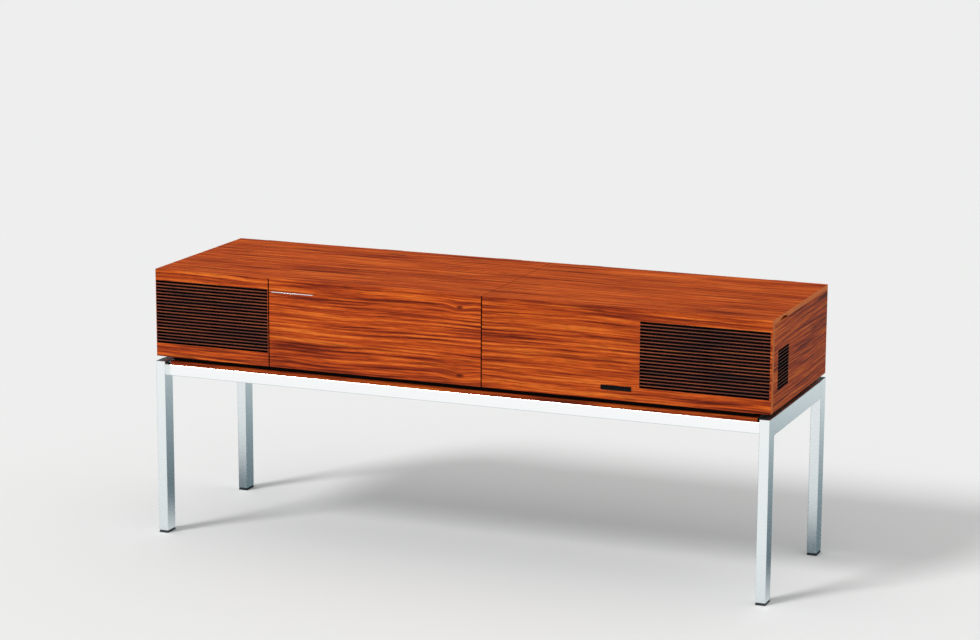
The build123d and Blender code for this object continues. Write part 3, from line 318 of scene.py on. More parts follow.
# colours: two close tones; grain: mm, and drawn: how far it is drawn out along x, y, z; rough: from and to;
# depth: mm of relief; real grain under 1 mm is drawn about 1 mm wide so that it shows
plainLook = dict(grain=2, drawn=(1, 1, 1), rough=(0.5, 0.6), depth=0.02, metal=0, gloss=0.5, kind="grain")
chipboard = dict(colours=("#C29C6C", "#9B7446"), grain=2.4, drawn=(1.7, 1, 1), rough=(0.8, 0.92), depth=0.1,
                 kind="flakes")
finishLooks = {
    # matt black, partly a real black strip and partly painted shade under the cabinet's overhang: the gap
    # under the cabinet reads as one dark line
    "mattBlackAndShade": dict(colours=("#070606", "#0D0B0A"), grain=1, rough=(0.85, 0.95), gloss=0.1,
        nodes="shadow_strip"),
    # moulded polyethylene: blue-black, waxy, soft at the edges
    "mouldedGlide": dict(colours=("#20252D", "#2B313B"), grain=3, rough=(0.42, 0.55), depth=0.01,
        nodes="leg_glides"),
    # pressed chipboard, only sanded: blond flakes of mixed tone, dull
    "sandedChipboard": chipboard | {
        "nodes": "left_partition middle_partition right_partition rear_top_rail"},
    # the same board, drawn near black on its underside as painted shade: the gap over the rails stays dark
    # and mirrors dark
    "chipboardShadedUnder": chipboard | {"under": "#0B0908", "nodes": "bottom_board"},
    # oil-hardened fibreboard: dark brown felted fibres with a slight polish from the press
    "hardenedFibreboard": dict(colours=("#4A3223", "#66462F"), grain=1.2, drawn=(2.5, 2.5, 1),
        rough=(0.55, 0.72), depth=0.04, nodes="rear_cover chamber_covers"),
    # zinc-plated and passivated steel: pale grey that drifts to faint blue and straw
    "zincPlatedSteel": dict(colours=("#C3C9CE", "#CFC9B6"), grain=9, rough=(0.42, 0.54), depth=0.01,
        metal=0.7,
        nodes="fixing_screws stay_arm_left stay_arm_right stay_track_left stay_track_right stay_pivots"),
    # woven black loudspeaker cloth: 0.4 mm threads drawn 1.2 mm wide, no shine at all
    "wovenSpeakerCloth": dict(colours=("#030303", "#151413"), grain=1.2, rough=(0.93, 0.98), depth=0.15,
        kind="weave", nodes="grille_cloths"),
    # deep-drawn steel in black stove enamel: even, with a low gloss
    "stovedBlackSteel": dict(colours=("#19191B", "#242427"), grain=4, rough=(0.32, 0.45), depth=0.01,
        nodes="woofer_baskets tweeters changer_motor"),
    # felted paper cone: charcoal, fibrous, without shine
    "feltedConePaper": dict(colours=("#191716", "#35302C"), grain=1.4, rough=(0.88, 0.96), depth=0.1,
        nodes="woofer_cones"),
    # cadmium-plated folded sheet: soft yellow-grey with cloudy stains
    "cadmiumPlatedSheet": dict(colours=("#BDBBAE", "#A9A38E"), grain=26, rough=(0.52, 0.64), depth=0.01,
        metal=0.75, nodes="radio_chassis"),
    # brushed and anodised aluminium: long satin streaks that break up each reflection
    "brushedAnodisedAluminium": dict(colours=("#CBC8C0", "#B2AFA7"), grain=0.9, drawn=(60, 1, 1),
        rough=(0.30, 0.44), depth=0.006, metal=1, nodes="radio_fascia"),
    # stoved pointer enamel: a thin clear red line
    "redPointerEnamel": dict(colours=("#D22A1A", "#B92214"), grain=3, rough=(0.35, 0.45), depth=0.005,
        nodes="dial_pointer"),
    # birch plywood: pale, quiet, with faint straight grain
    "birchPlywood": dict(colours=("#CBA674", "#B48852"), grain=2.2, drawn=(28, 1, 1), rough=(0.6, 0.74),
        depth=0.03, nodes="motor_board"),
    # hammer enamel: grey with small shiny dimples
    "hammerGreyEnamel": dict(colours=("#3B3C40", "#4C4D53"), grain=2.6, rough=(0.30, 0.42), depth=0.12,
        nodes="changer_deck arm_rest tonearm_base"),
    # bright chrome plate: sharp reflections with hardly a trace of grain
    "polishedChrome": dict(colours=("#E8EAEC", "#E2E4E7"), grain=6, rough=(0.09, 0.15), depth=0.002,
        metal=1, nodes="changer_spindle"),
    # black enamel fill of the badge: deep and even
    "blackBadgeEnamel": dict(colours=("#070708", "#0D0D0F"), grain=5, depth=0.005, gloss=0.06),
    # compression-moulded knob: brown-black with a worn satin shine
    "mouldedKnobPlastic": dict(colours=("#14110E", "#1D1915"), grain=1.5, rough=(0.28, 0.38), depth=0.01,
        nodes="tuning_knob volume_knob bass_knob treble_knob changer_knob"),
    # spun aluminium cap: tiny turning marks, silky
    "spunAluminiumCap": dict(colours=("#C9C8C3", "#B9B8B3"), grain=0.9, rough=(0.26, 0.36), depth=0.008,
        metal=1),
    # screen-printed white: slightly chalky
    "whiteMarkPaint": dict(colours=("#ECE9DD", "#DDD9CB"), grain=1, depth=0.01),
    # moulded ivory keys: warm, dense, softly shiny, a little yellowed
    "ivoryKeyPlastic": dict(colours=("#DCD2B8", "#D0C4A2"), grain=7, rough=(0.26, 0.34), depth=0.004,
        nodes="push_button_1 push_button_2 push_button_3 push_button_4 push_button_5"),
    # brass-plated hinge strip: warm yellow, dulled by handling
    "brassPlatedSteel": dict(colours=("#CBA052", "#B88C42"), grain=5, rough=(0.28, 0.42), depth=0.01,
        metal=1, nodes="hinge_leaves_fixed hinge_leaves_left hinge_leaves_right"),
    # dial plate printed dark green-black: lets the white scales stand out
    "printedDialPlate": dict(colours=("#0C1512", "#131D19"), grain=6, depth=0, gloss=0.3),
    # moulded rubber mat: grey-black, dusty dull
    "mouldedRubberMat": dict(colours=("#181716", "#232120"), grain=1, rough=(0.68, 0.82), depth=0.03),
    # platter rim turned from cast aluminium: fine rings round the spindle
    "turnedPlatterAluminium": dict(colours=("#C6C6C5", "#B2B2B1"), grain=0.9, rough=(0.24, 0.34),
        depth=0.01, metal=1, kind="rings", nodes="platter"),
    # drawn tube, lightly polished along its length
    "drawnAluminiumTube": dict(colours=("#D0D0CF", "#C0C0BF"), grain=0.9, drawn=(1, 40, 1),
        rough=(0.22, 0.32), depth=0.004, metal=1, nodes="tonearm"),
    # cream pick-up shell: warm and glossy against the black platter
    "creamMouldedShell": dict(colours=("#DDD3B9", "#D2C6A6"), grain=6, rough=(0.28, 0.36), depth=0.004),
    # varnished transformer stampings: brown-black edges of thin sheets, stacked along x
    "varnishedLaminations": dict(colours=("#1A1512", "#3A302A"), grain=1, drawn=(1, 60, 60),
        rough=(0.35, 0.5), depth=0.06),
    # waxed paper round the transformer winding: tan, matt
    "waxedCoilPaper": dict(colours=("#B08A52", "#9A7440"), grain=5, rough=(0.5, 0.65), depth=0.03),
}


def surface(name, look):
    # two close tones, roughness and relief, all from one pattern at a real size
    material, add, shader = newMaterial(name)
    coords = add("TexCoord")
    place = coords.outputs["Object"]
    if look["kind"] == "rings":
        x, y = middle("platter")[:2]
        away = add("VectorMath", [place, (mm(x), mm(y), 0)], operation="SUBTRACT")
        flat = add("VectorMath", [away, (1, 1, 0)], operation="MULTIPLY")
        place = add("CombineXYZ", [add("VectorMath", [flat], operation="LENGTH")])
    scale = [1 / (mm(look["grain"]) * reach) for reach in look["drawn"]]
    scaled = add("VectorMath", [place, scale], operation="MULTIPLY")
    if look["kind"] == "flakes":
        cells = add("TexVoronoi", {"Vector": scaled, "Scale": 1})
        pattern = add("SeparateColor", [cells.outputs["Color"]])
    elif look["kind"] == "weave":
        threads = [add("TexWave", {"Vector": scaled, "Scale": 0.314}, bands_direction=axis) for axis in "XZ"]
        pattern = add("Math", [thread.outputs["Fac"] for thread in threads], operation="MULTIPLY")
    else:
        grain = add("TexNoise", {"Vector": scaled, "Scale": 1, "Detail": 3, "Roughness": 0.6})
        pattern = add("MapRange", [grain, 0.32, 0.68])
    first, second = [srgb(code) for code in look["colours"]]
    colour = add("Mix", {"Factor": pattern, "A": first, "B": second}, data_type="RGBA")
    # painted shade: downward faces drawn in the look's dark under colour
    if "under" in look:
        facing = add("SeparateXYZ", [coords.outputs["Normal"]])
        below = add("Math", [facing.outputs["Z"], -0.5], operation="LESS_THAN")
        colour = add("Mix", {"Factor": below, "A": colour, "B": srgb(look["under"])}, data_type="RGBA")
    rough = add("MapRange", {"Value": pattern, "To Min": look["rough"][0], "To Max": look["rough"][1]})
    plug(shader, {"Base Color": colour, "Roughness": rough, "Metallic": look["metal"]})
    if look["depth"]:
        bump = add("Bump", {"Height": pattern, "Strength": 0.5, "Distance": mm(look["depth"])})
        plug(shader, {"Normal": bump})
    if not look["metal"]:
        plug(shader, {"Specular IOR Level": look["gloss"]})
    return material


glassLook = {"tint": "#16231E", "ripple": 60, "rippleDepth": 0.05, "roughness": 0.05, "index": 1.52,
             "cover": 0.24}


def smokedGlass(name, look):
    # thin tinted dial glass: the scale shows through, with a clean reflection over it
    material, add, shader = newMaterial(name)
    waves = add("TexNoise", {"Vector": add("TexCoord").outputs["Object"], "Scale": 1000 / look["ripple"],
                             "Detail": 1, "Roughness": 0.4})
    bump = add("Bump", {"Height": waves, "Strength": 0.1, "Distance": mm(look["rippleDepth"])})
    plug(shader, {"Base Color": srgb(look["tint"]), "Roughness": look["roughness"], "IOR": look["index"],
                  "Alpha": look["cover"], "Normal": bump})
    return material


finish = {name: surface(name, plainLook | look) for name, look in finishLooks.items()}
for name, look in finishLooks.items():
    put(finish[name], *look.get("nodes", "").split())
put(satinChrome("satinChromedLegTube", "#F3F6F7", 0.24, 0.34), "leg_front_left", "leg_front_right",
    "leg_rear_left", "leg_rear_right", "side_rail_left", "side_rail_right")
# painted highlight: the rails take a whiter copy of the chromed tube finish than the legs
put(satinChrome("satinChromedRailPaintedHighlight", "#FDFEFE", 0.16, 0.24), "front_rail", "rear_rail")
put(smokedGlass("smokedDialGlass", glassLook), "dial_glass")
print("finishes done")


# modelling tools: a primitive at its place, then edit mode; all sizes in mm
compass = {"X": Vector((1, 0, 0)), "Y": Vector((0, 1, 0)), "Z": Vector((0, 0, 1))}
compass.update({"-" + name: -way for name, way in list(compass.items())})
tilts = {"X": (0, quarter, 0), "Y": (-quarter, 0, 0), "Z": (0, 0, 0)}


def clearAll():
    # object mode with nothing chosen
    if bpy.context.mode != "OBJECT":
        bpy.ops.object.mode_set(mode="OBJECT")
    bpy.ops.object.select_all(action="DESELECT")


def activate(piece):
    clearAll()
    piece.select_set(True)
    bpy.context.view_layer.objects.active = piece


def edit(piece):
    activate(piece)
    bpy.ops.object.mode_set(mode="EDIT")
    bpy.ops.mesh.select_mode(type="FACE")
    bpy.ops.mesh.select_all(action="SELECT")


def adopt(name):
    # names the new primitive and puts its place into its mesh
    piece = bpy.context.object
    piece.name = piece.data.name = name
    bpy.ops.object.transform_apply(location=True, rotation=True, scale=True)
    return piece


def startBlock(name, low, high, rotation=(0, 0, 0)):
    clearAll()
    bpy.ops.mesh.primitive_cube_add(size=1, location=[mm(a + b) / 2 for a, b in zip(low, high)],
                                    scale=[mm(b - a) for a, b in zip(low, high)], rotation=rotation)
    return adopt(name)


def extrude(shift):
    bpy.ops.mesh.extrude_region_move(TRANSFORM_OT_translate={"value": [mm(v) for v in shift]})


def squeeze(shares, centre):
    bpy.ops.transform.resize(value=shares, center_override=[mm(v) for v in centre])


def turned(name, place, way, steps, sides=48):
    # turned part: steps are (distance along the axis, radius), each an extrude and a resize
    clearAll()
    direction, start = compass[way], Vector(place)
    bpy.ops.mesh.primitive_circle_add(vertices=sides, radius=mm(steps[0][1]), fill_type="NGON",
                                      location=(start + direction * steps[0][0]) / 1000,
                                      rotation=tilts[way[-1]])
    piece = adopt(name)
    edit(piece)
    for (before, wide), (after, narrow) in zip(steps, steps[1:]):
        extrude(direction * (after - before))
        if narrow != wide:
            squeeze((narrow / wide,) * 3, start + direction * after)
    bpy.ops.mesh.select_all(action="SELECT")
    bpy.ops.mesh.normals_make_consistent(inside=False)
    return piece


def pick(piece, test, kind="FACE"):
    # edit mode with faces or edges chosen by their middle and normal or direction
    if piece.mode != "EDIT":
        edit(piece)
    bpy.ops.mesh.select_mode(type=kind)
    bpy.ops.mesh.select_all(action="DESELECT")
    work = bmesh.from_edit_mesh(piece.data)
    for item in (work.faces if kind == "FACE" else work.edges):
        if kind == "FACE":
            spot, way = item.calc_center_median() * 1000, item.normal
        else:
            tips = [v.co for v in item.verts]
            spot, way = (tips[0] + tips[1]) * 500, (tips[1] - tips[0]).normalized()
        if test(spot, way):
            item.select_set(True)
    bmesh.update_edit_mesh(piece.data)


def sink(inset, depth, individual=False):
    # insets the chosen faces and pushes them in (-) or out (+)
    bpy.ops.mesh.inset(thickness=mm(inset), depth=0, use_individual=individual)
    if depth:
        bpy.ops.mesh.extrude_region_shrink_fatten(TRANSFORM_OT_shrink_fatten={"value": mm(depth)})


def sinkSide(piece, side, inset, depth):
    pick(piece, lambda spot, way: way.dot(compass[side]) > 0.9)
    sink(inset, depth)


def roundEdges(width, segments=3):
    bpy.ops.mesh.bevel(offset=mm(width), segments=segments, affect="EDGES")


def roundCorners(piece, axis, width, segments, within=lambda spot: True):
    # rounds the edges that run along an axis
    pick(piece, lambda spot, way: abs(way.dot(compass[axis])) > 0.9 and within(spot), "EDGE")
    roundEdges(width, segments)


def ringFrame(name, low, high, axis, corner, segments, width):
    # a flat frame: a block with round corners and its middle taken out
    ring = startBlock(name, low, high)
    roundCorners(ring, axis, corner, segments)
    pick(ring, lambda spot, way: abs(way.dot(compass[axis])) > 0.9)
    sink(width, 0)
    bpy.ops.mesh.bridge_edge_loops()
    return ring


def cutAcross(piece, places, way):
    # cuts all faces along planes through the places
    edit(piece)
    for place in places:
        bpy.ops.mesh.select_all(action="SELECT")
        bpy.ops.mesh.bisect(plane_co=Vector(place) / 1000, plane_no=way)


def flute(knob, place, way, sides, low, high, inset, depth):
    # sinks every second face round a knob, between two distances along its axis
    out, centre, step = compass[way], Vector(place), 360 / sides
    across = compass["Z" if out.y else "Y"]

    def chosen(spot, normal):
        away = spot - centre
        turn = math.degrees(math.atan2(away.dot(across), away.x))
        second = round(turn / step - 0.5) % 2 == 0
        return second and low < away.dot(out) < high and abs(normal.dot(out)) < 0.4

    pick(knob, chosen)
    sink(inset, -depth, individual=True)


def paint(piece, index, test):
    # material index of the faces that pass the test
    clearAll()
    for face in piece.data.polygons:
        if test(face.center * 1000, face.normal):
            face.material_index = index


def copyOf(piece, name, shift):
    activate(piece)
    bpy.ops.object.duplicate(linked=False)
    bpy.ops.transform.translate(value=[mm(v) for v in shift])
    return adopt(name)


def repeated(first, places):
    # the piece at the first place, and a copy of it at each other one
    shifts = [[b - a for a, b in zip(places[0], place)] for place in places[1:]]
    return [first] + [copyOf(first, first.name, shift) for shift in shifts]


def joined(pieces, name):
    activate(pieces[0])
    for piece in pieces:
        piece.select_set(True)
    bpy.ops.object.join()
    return adopt(name)


def finished(piece, body, materials, edge=0, segments=2, smooth=35, replaces=()):
    # fine edges, shading, materials, and the body that carries the piece
    activate(piece)
    if edge:
        soft = piece.modifiers.new("softEdges", "BEVEL")
        soft.width = mm(edge)
        soft.segments = segments
        soft.limit_method = "ANGLE"
        soft.angle_limit = math.radians(40)
        bpy.ops.object.modifier_apply(modifier="softEdges")
    bpy.ops.object.shade_smooth_by_angle(angle=math.radians(smooth))
    for name in materials:
        piece.data.materials.append(finish[name])
    if replaces:
        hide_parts(*replaces)
    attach(piece, body)
    return piece


# front trim
badgeLook = {"x": (383, 459.5), "above": (23, 35), "thickness": 1.4, "corner": 1.2, "rim": 0.35,
             "recess": 0.5}
trimLook = {"x": (-474, -370), "drop": 33.5, "height": 2, "thickness": 1.2, "point": 6}


def badgePlate(look):
    under = ends("front_panel_right")[0][2]
    (x0, x1), (z0, z1) = look["x"], [under + rise for rise in look["above"]]
    plate = startBlock("badgePlate", (x0, cabinetFront - look["thickness"], z0), (x1, cabinetFront, z1))
    roundCorners(plate, "Y", look["corner"], 4)
    sinkSide(plate, "-Y", look["rim"], 0)
    sink(0.15, -look["recess"])
    paint(plate, 1, lambda spot, way: way.y < -0.9)
    return finished(plate, "root", ["polishedChrome", "blackBadgeEnamel"], edge=0.15)


def trimBar(look):
    (x0, x1), face, half, z = look["x"], cabinetFront, look["height"] / 2, cabinetTop - look["drop"]
    bar = startBlock("trimBar", (x0, face - look["thickness"], z - half), (x1, face, z + half))
    for side, end in ((-1, x0), (1, x1)):
        pick(bar, lambda spot, way: way.x * side > 0.9)
        extrude((side * look["point"], 0, 0))
        squeeze((1, 0.3, 0.3), (end, face, z))
    pick(bar, lambda spot, way: way.y < -0.9 and x0 < spot.x < x1)
    sink(0.5, 0.25)
    return finished(bar, "left_lid", ["polishedChrome"], edge=0.12)


badgePlate(badgeLook)
trimBar(trimLook)
print("front trim done")


# screws with a turned head and a cut slot
def slottedHead(name, place, way, radius, height, slot=0.9, cut=0.7):
    # place is the middle of the seat; the head rises along way
    head = turned(name, place, way, [(0, radius * 0.96), (0.25, radius), (height * 0.55, radius * 0.94),
                                     (height * 0.9, radius * 0.7), (height, radius * 0.45)], 20)
    out, centre = compass[way], Vector(place)
    side = compass["X" if abs(out.x) < 0.5 else "Y"]
    cutAcross(head, [centre + side * offset for offset in (-slot / 2, slot / 2)], side)
    pick(head, lambda spot, normal: normal.dot(out) > 0.3 and
         abs((spot - centre).dot(side)) < slot / 2 - 0.05)
    extrude(-out * cut)
    return head


coverFace = ends("rear_cover")[1][1]
coverRows = (middle("bottom_board")[2], ends("rear_top_rail")[0][2] + 5.5)
railRows = (middle("front_rail")[1], middle("rear_rail")[1])
screwLook = {
    "cover": [(x, coverFace, z) for z in coverRows for x in (-744, -248, 248, 744)],
    "rail": [(x, y, ends("front_rail")[0][2]) for x in (-646, 646) for y in railRows],
    "radius": 4.5,
    "height": 2.2,
}


def fixingScrews(look):
    heads = []
    for name, way in (("cover", "Y"), ("rail", "-Z")):
        first = slottedHead(name + "Screw", look[name][0], way, look["radius"], look["height"])
        heads += repeated(first, look[name])
    return finished(joined(heads, "slottedScrews"), "root", ["zincPlatedSteel"],
                    replaces=("fixing_screws",))


fixingScrews(screwLook)
print("fixing screws done")


# hinges
hingeLook = {"left": (-690, -360.4, -30.8), "right": (189.2, 690), "length": 60, "knuckle": 2.6,
             "play": 0.15, "leaf": 1.2, "axis": (coverFace + 2.9, ends("lid_board_left")[0][2]), "rise": 9,
             "near": 3.2, "corner": 2.5, "screws": (-22, 0, 22), "screwRadius": 2.4}


def hingeLeaf(look, x, up, knuckles):
    # one leaf with its rolled knuckles and countersunk screws; up is 1 on a lid and -1 below it
    (axisY, axisZ), long, r = look["axis"], look["length"], look["knuckle"]
    near = axisZ + up * look["near"]
    far = near + up * look["rise"]
    back, front = coverFace, coverFace + look["leaf"]
    low, high = sorted((near, far))
    leaf = startBlock("hingeLeaf", (x - long / 2, back, low), (x + long / 2, front, high))
    roundCorners(leaf, "Y", look["corner"], 4, lambda spot: (spot.z - far) * up > -0.5)
    parts = [leaf]
    wide = long / 3 - 2 * look["play"]
    low, high = sorted((axisZ, near + up * 0.5))
    for number in knuckles:
        x0 = x - long / 2 + number * long / 3 + look["play"]
        parts.append(startBlock("hingeWeb", (x0, back + 0.3, low), (x0 + wide, front + 0.3, high)))
        parts.append(turned("hingeKnuckle", (x0, axisY, axisZ), "X",
                            [(0, r - 0.25), (0.25, r), (wide - 0.25, r), (wide, r - 0.25)], 24))
    if up < 0:
        parts.append(turned("hingePin", (x - long / 2, axisY, axisZ), "X",
                            [(0.1, 0.9), (0.35, 1.2), (long - 0.35, 1.2), (long - 0.1, 0.9)], 16))
    for shift in look["screws"]:
        place = (x + shift, front - 0.35, near + up * look["rise"] * 0.52)
        parts.append(slottedHead("hingeScrew", place, "Y", look["screwRadius"], 0.55, slot=0.6, cut=0.35))
    return joined(parts, "hingeLeaf")


def hingeSet(look, name, places, up, knuckles, body, node):
    leaves = repeated(hingeLeaf(look, places[0], up, knuckles), [(x, 0, 0) for x in places])
    return finished(joined(leaves, name), body, ["brassPlatedSteel"], replaces=(node,))


hingeSet(hingeLook, "hingesFixed", hingeLook["left"] + hingeLook["right"], -1, (0, 2), "root",
         "hinge_leaves_fixed")
hingeSet(hingeLook, "hingesLeftLid", hingeLook["left"], 1, (1,), "left_lid", "hinge_leaves_left")
hingeSet(hingeLook, "hingesRightLid", hingeLook["right"], 1, (1,), "right_lid", "hinge_leaves_right")
print("hinges done")


# radio front
glassLow, glassHigh = ends("dial_glass")
fasciaLook = {"face": ends("radio_fascia")[0][1], "row": middle("volume_knob")[2], "shaft": 14.3,
              "dial": (glassLow[0] - 0.3, glassHigh[0] + 0.3, glassLow[2] - 0.3, glassHigh[2] + 0.3),
              "bezel": 4, "bezelHeight": 1.6, "knobLength": 17, "knobSides": 72,
              "knobs": {"volume_knob": 16, "bass_knob": 16, "treble_knob": 16, "tuning_knob": 23},
              "restTurn": {"volume_knob": 150},     # degrees; it rests at the low end of its travel
              "buttonNose": 12, "buttonTail": 16, "buttonSize": (22, 13), "buttonEdge": 1.8}


def controlKnob(look, node):
    x, z, r, long = middle(node)[0], look["row"], look["knobs"][node], look["knobLength"]
    name, place = node.replace("_k", "K"), (x, look["face"] - 0.3, z)
    tip = place[1] - long
    knob = turned(name, place, "-Y", [
        (-look["shaft"], 3), (0, 3), (0, r - 0.4), (0.4, r), (2.2, r), (3, r - 0.8), (3, r * 0.89),
        (4.2, r * 0.875), (long - 2, r * 0.80), (long - 0.6, r * 0.765), (long, r * 0.72),
        (long, r * 0.66), (long - 0.6, r * 0.65), (long - 0.6, r * 0.6), (long - 0.2, r * 0.5),
        (long, r * 0.3)],
        look["knobSides"])
    flute(knob, place, "-Y", look["knobSides"], 4.2, long - 2, 0.12, 0.45)
    paint(knob, 1, lambda spot, way: spot.y < tip + 0.9 and math.hypot(spot.x - x, spot.z - z) < r * 0.66)
    mark = startBlock("knobMark", (x - 0.6, tip - 0.05, z + r * 0.34), (x + 0.6, tip + 1, z + r * 0.62))
    sinkSide(mark, "-Y", 0.2, 0.05)
    knob = joined([knob, mark], name)
    paint(knob, 2, lambda spot, way: abs(spot.x - x) < 0.65 and spot.y < tip + 0.6 and
          z + r * 0.33 < spot.z < z + r * 0.63)
    if node in look["restTurn"]:
        activate(knob)
        bpy.ops.transform.rotate(value=math.radians(look["restTurn"][node]), orient_axis="Y",
                                 center_override=[mm(v) for v in place])
        adopt(name)
    finishes = ["mouldedKnobPlastic", "spunAluminiumCap", "whiteMarkPaint"]
    return finished(knob, node, finishes, replaces=(node,), smooth=28)


def pushButtons(look):
    # one key is modelled, the other four are bare copies of it, and each rides on its own body
    wide, high = look["buttonSize"]
    x, z = middle("push_button_1")[0], look["row"]
    nose, tail = look["face"] - look["buttonNose"], look["face"] + look["buttonTail"]
    key = startBlock("pushButton1", (x - wide / 2, nose, z - high / 2), (x + wide / 2, tail, z + high / 2))
    pick(key, lambda spot, way: spot.y < nose + 0.1 and abs(way.y) < 0.1, "EDGE")
    roundEdges(look["buttonEdge"], 4)
    pick(key, lambda spot, way: way.y < -0.99 and spot.y < nose + 0.5)
    sink(1.6, 0)
    sink(1.2, -0.7)
    shifts = {i: (middle(f"push_button_{i}")[0] - x, 0, 0) for i in range(2, 6)}
    keys = [key] + [copyOf(key, f"pushButton{i}", shift) for i, shift in shifts.items()]
    for number, key in enumerate(keys, 1):
        node = f"push_button_{number}"
        finished(key, node, ["ivoryKeyPlastic"], smooth=40, replaces=(node,))


def dialBezel(look):
    x0, x1, z0, z1 = look["dial"]
    wide, face = look["bezel"], look["face"]
    ring = ringFrame("dialBezel", (x0 - wide, face - look["bezelHeight"], z0 - wide),
                     (x1 + wide, face, z1 + wide), "Y", wide + 0.8, 6, wide)
    return finished(ring, "root", ["polishedChrome"], edge=0.5, segments=3)


for node in fasciaLook["knobs"]:
    controlKnob(fasciaLook, node)
pushButtons(fasciaLook)
dialBezel(fasciaLook)
print("radio front done")


# dial scale behind the glass: lines, ticks and plain numbers
scaleLook = {"behind": 18, "thickness": 1.2, "margin": 26, "print": 0.12, "textSize": 5.2,
             "textRise": 3.4, "tickHeight": 2.4, "ticks": 41, "overrun": 8,
             "rows": [(51.5, range(88, 105, 2)), (37.5, (6, 7, 8, 9, 10, 12, 14, 16, 18)),
                      (23.5, (550, 600, 700, 800, 900, 1000, 1200, 1400, 1600)),
                      (9.5, range(150, 351, 25))]}


def printedNumber(look, number, place):
    clearAll()
    bpy.ops.object.text_add(location=[mm(v) for v in place], rotation=(quarter, 0, 0))
    words = bpy.context.object.data
    words.body = str(number)
    words.size = mm(look["textSize"])
    words.align_x = "CENTER"
    words.extrude = mm(0.03)
    words.resolution_u = 3
    bpy.ops.object.convert(target="MESH")
    edit(bpy.context.object)
    bpy.ops.mesh.remove_doubles(threshold=mm(0.005))
    bpy.ops.mesh.normals_make_consistent(inside=False)
    bpy.ops.object.mode_set(mode="OBJECT")
    return adopt("scaleNumber")


def dialScale(look):
    x0, x1, z0, z1 = fasciaLook["dial"]
    back = fasciaLook["face"] + look["behind"]
    face = back - look["thickness"]
    plate = startBlock("dialScale", (x0 + 0.3, face, z0 + 0.3), (x1 - 0.3, back, z1 - 0.3))
    sinkSide(plate, "-Y", 1, -0.2)
    ground = face + 0.2
    top = ground - look["print"]
    left, right = x0 + look["margin"], x1 - look["margin"]
    prints = []
    for rise, numbers in look["rows"]:
        z = z0 + rise
        line = startBlock("scaleLine", (left - look["overrun"], top, z - 0.25),
                          (right + look["overrun"], ground, z + 0.25))
        sinkSide(line, "-Y", 0.1, 0.02)
        tick = startBlock("scaleTick", (left - 0.25, top, z), (left + 0.25, ground, z + look["tickHeight"]))
        pick(tick, lambda spot, way: way.z > 0.9)
        squeeze((0.6, 1, 1), (left, 0, z))
        activate(tick)
        row = tick.modifiers.new("tickRow", "ARRAY")
        row.count = look["ticks"]
        row.use_relative_offset = False
        row.use_constant_offset = True
        row.constant_offset_displace = (mm(right - left) / (look["ticks"] - 1), 0, 0)
        bpy.ops.object.modifier_apply(modifier="tickRow")
        prints += [line, tick]
        for i, number in enumerate(numbers):
            x = left + (right - left) * i / (len(numbers) - 1)
            prints.append(printedNumber(look, number, (x, top, z + look["textRise"])))
    marks = finished(joined(prints, "dialPrint"), "root", ["whiteMarkPaint"])
    return finished(plate, "root", ["printedDialPlate"]), marks


dialScale(scaleLook)
print("dial done")


# chassis details: valve cans, transformer and the sockets in the rear window
chassisLow, chassisHigh = ends("radio_chassis")
tunerBack = ends("radio_fascia")[1][1] + 120
chassisLook = {"tray": chassisLow[2] + 62, "middleY": (tunerBack + chassisHigh[1]) / 2, "inset": 30,
               "transformer": (85, 70, 62), "bolt": 7, "valves": 5, "valveRadius": 10.5,
               "valveHeight": 52, "stagger": 20, "sockets": 4, "pitch": 34, "contactRing": 4.2,
               "socketX": middle("radio_fascia")[0] - 35, "socketZ": chassisLow[2] + 65}


def valveCans(look):
    r, high = look["valveRadius"], look["valveHeight"]
    left = chassisLow[0] + look["inset"] * 2 + look["transformer"][0] + r
    right = chassisHigh[0] - look["inset"] - r
    pitch = (right - left) / (look["valves"] - 1)
    places = [(left + pitch * i, look["middleY"] + look["stagger"] * (1 if i % 2 else -1), look["tray"])
              for i in range(look["valves"])]
    first = turned("valveCan", places[0], "Z", [
        (0, r + 2.6), (1.6, r + 2.6), (2.2, r + 2), (7, r + 2), (7.6, r + 0.6), (high - 5, r + 0.6),
        (high - 3.4, r + 1.1), (high - 1.8, r + 0.6), (high + 0.4, r - 0.4), (high + 1.2, r - 2.4),
        (high + 1.2, r - 5), (high + 0.5, r - 5.6)], 32)
    cans = joined(repeated(first, places), "valveCans")
    return finished(cans, "root", ["spunAluminiumCap"], smooth=28)


def mainsTransformer(look):
    wide, deep, high = look["transformer"]
    x, y, z = chassisLow[0] + look["inset"], look["middleY"] - deep / 2, look["tray"] + high
    core = startBlock("mainsTransformer", (x - 0.6, y - 0.6, look["tray"]),
                      (x + wide + 0.6, y + deep + 0.6, z + 0.6))
    sinkSide(core, "Z", 15, 0)
    sink(0.4, 7)
    sink(1.5, 0.8)
    paint(core, 1, lambda spot, way: spot.z > z + 0.8)
    bolt = look["bolt"]
    places = [(a, b, z + 0.5) for b in (y + bolt, y + deep - bolt) for a in (x + bolt, x + wide - bolt)]
    bolts = repeated(slottedHead("coreBolt", places[0], "Z", 3.6, 2), places)
    finished(joined(bolts, "coreBolts"), "root", ["zincPlatedSteel"])
    return finished(core, "root", ["varnishedLaminations", "waxedCoilPaper"], edge=0.5)


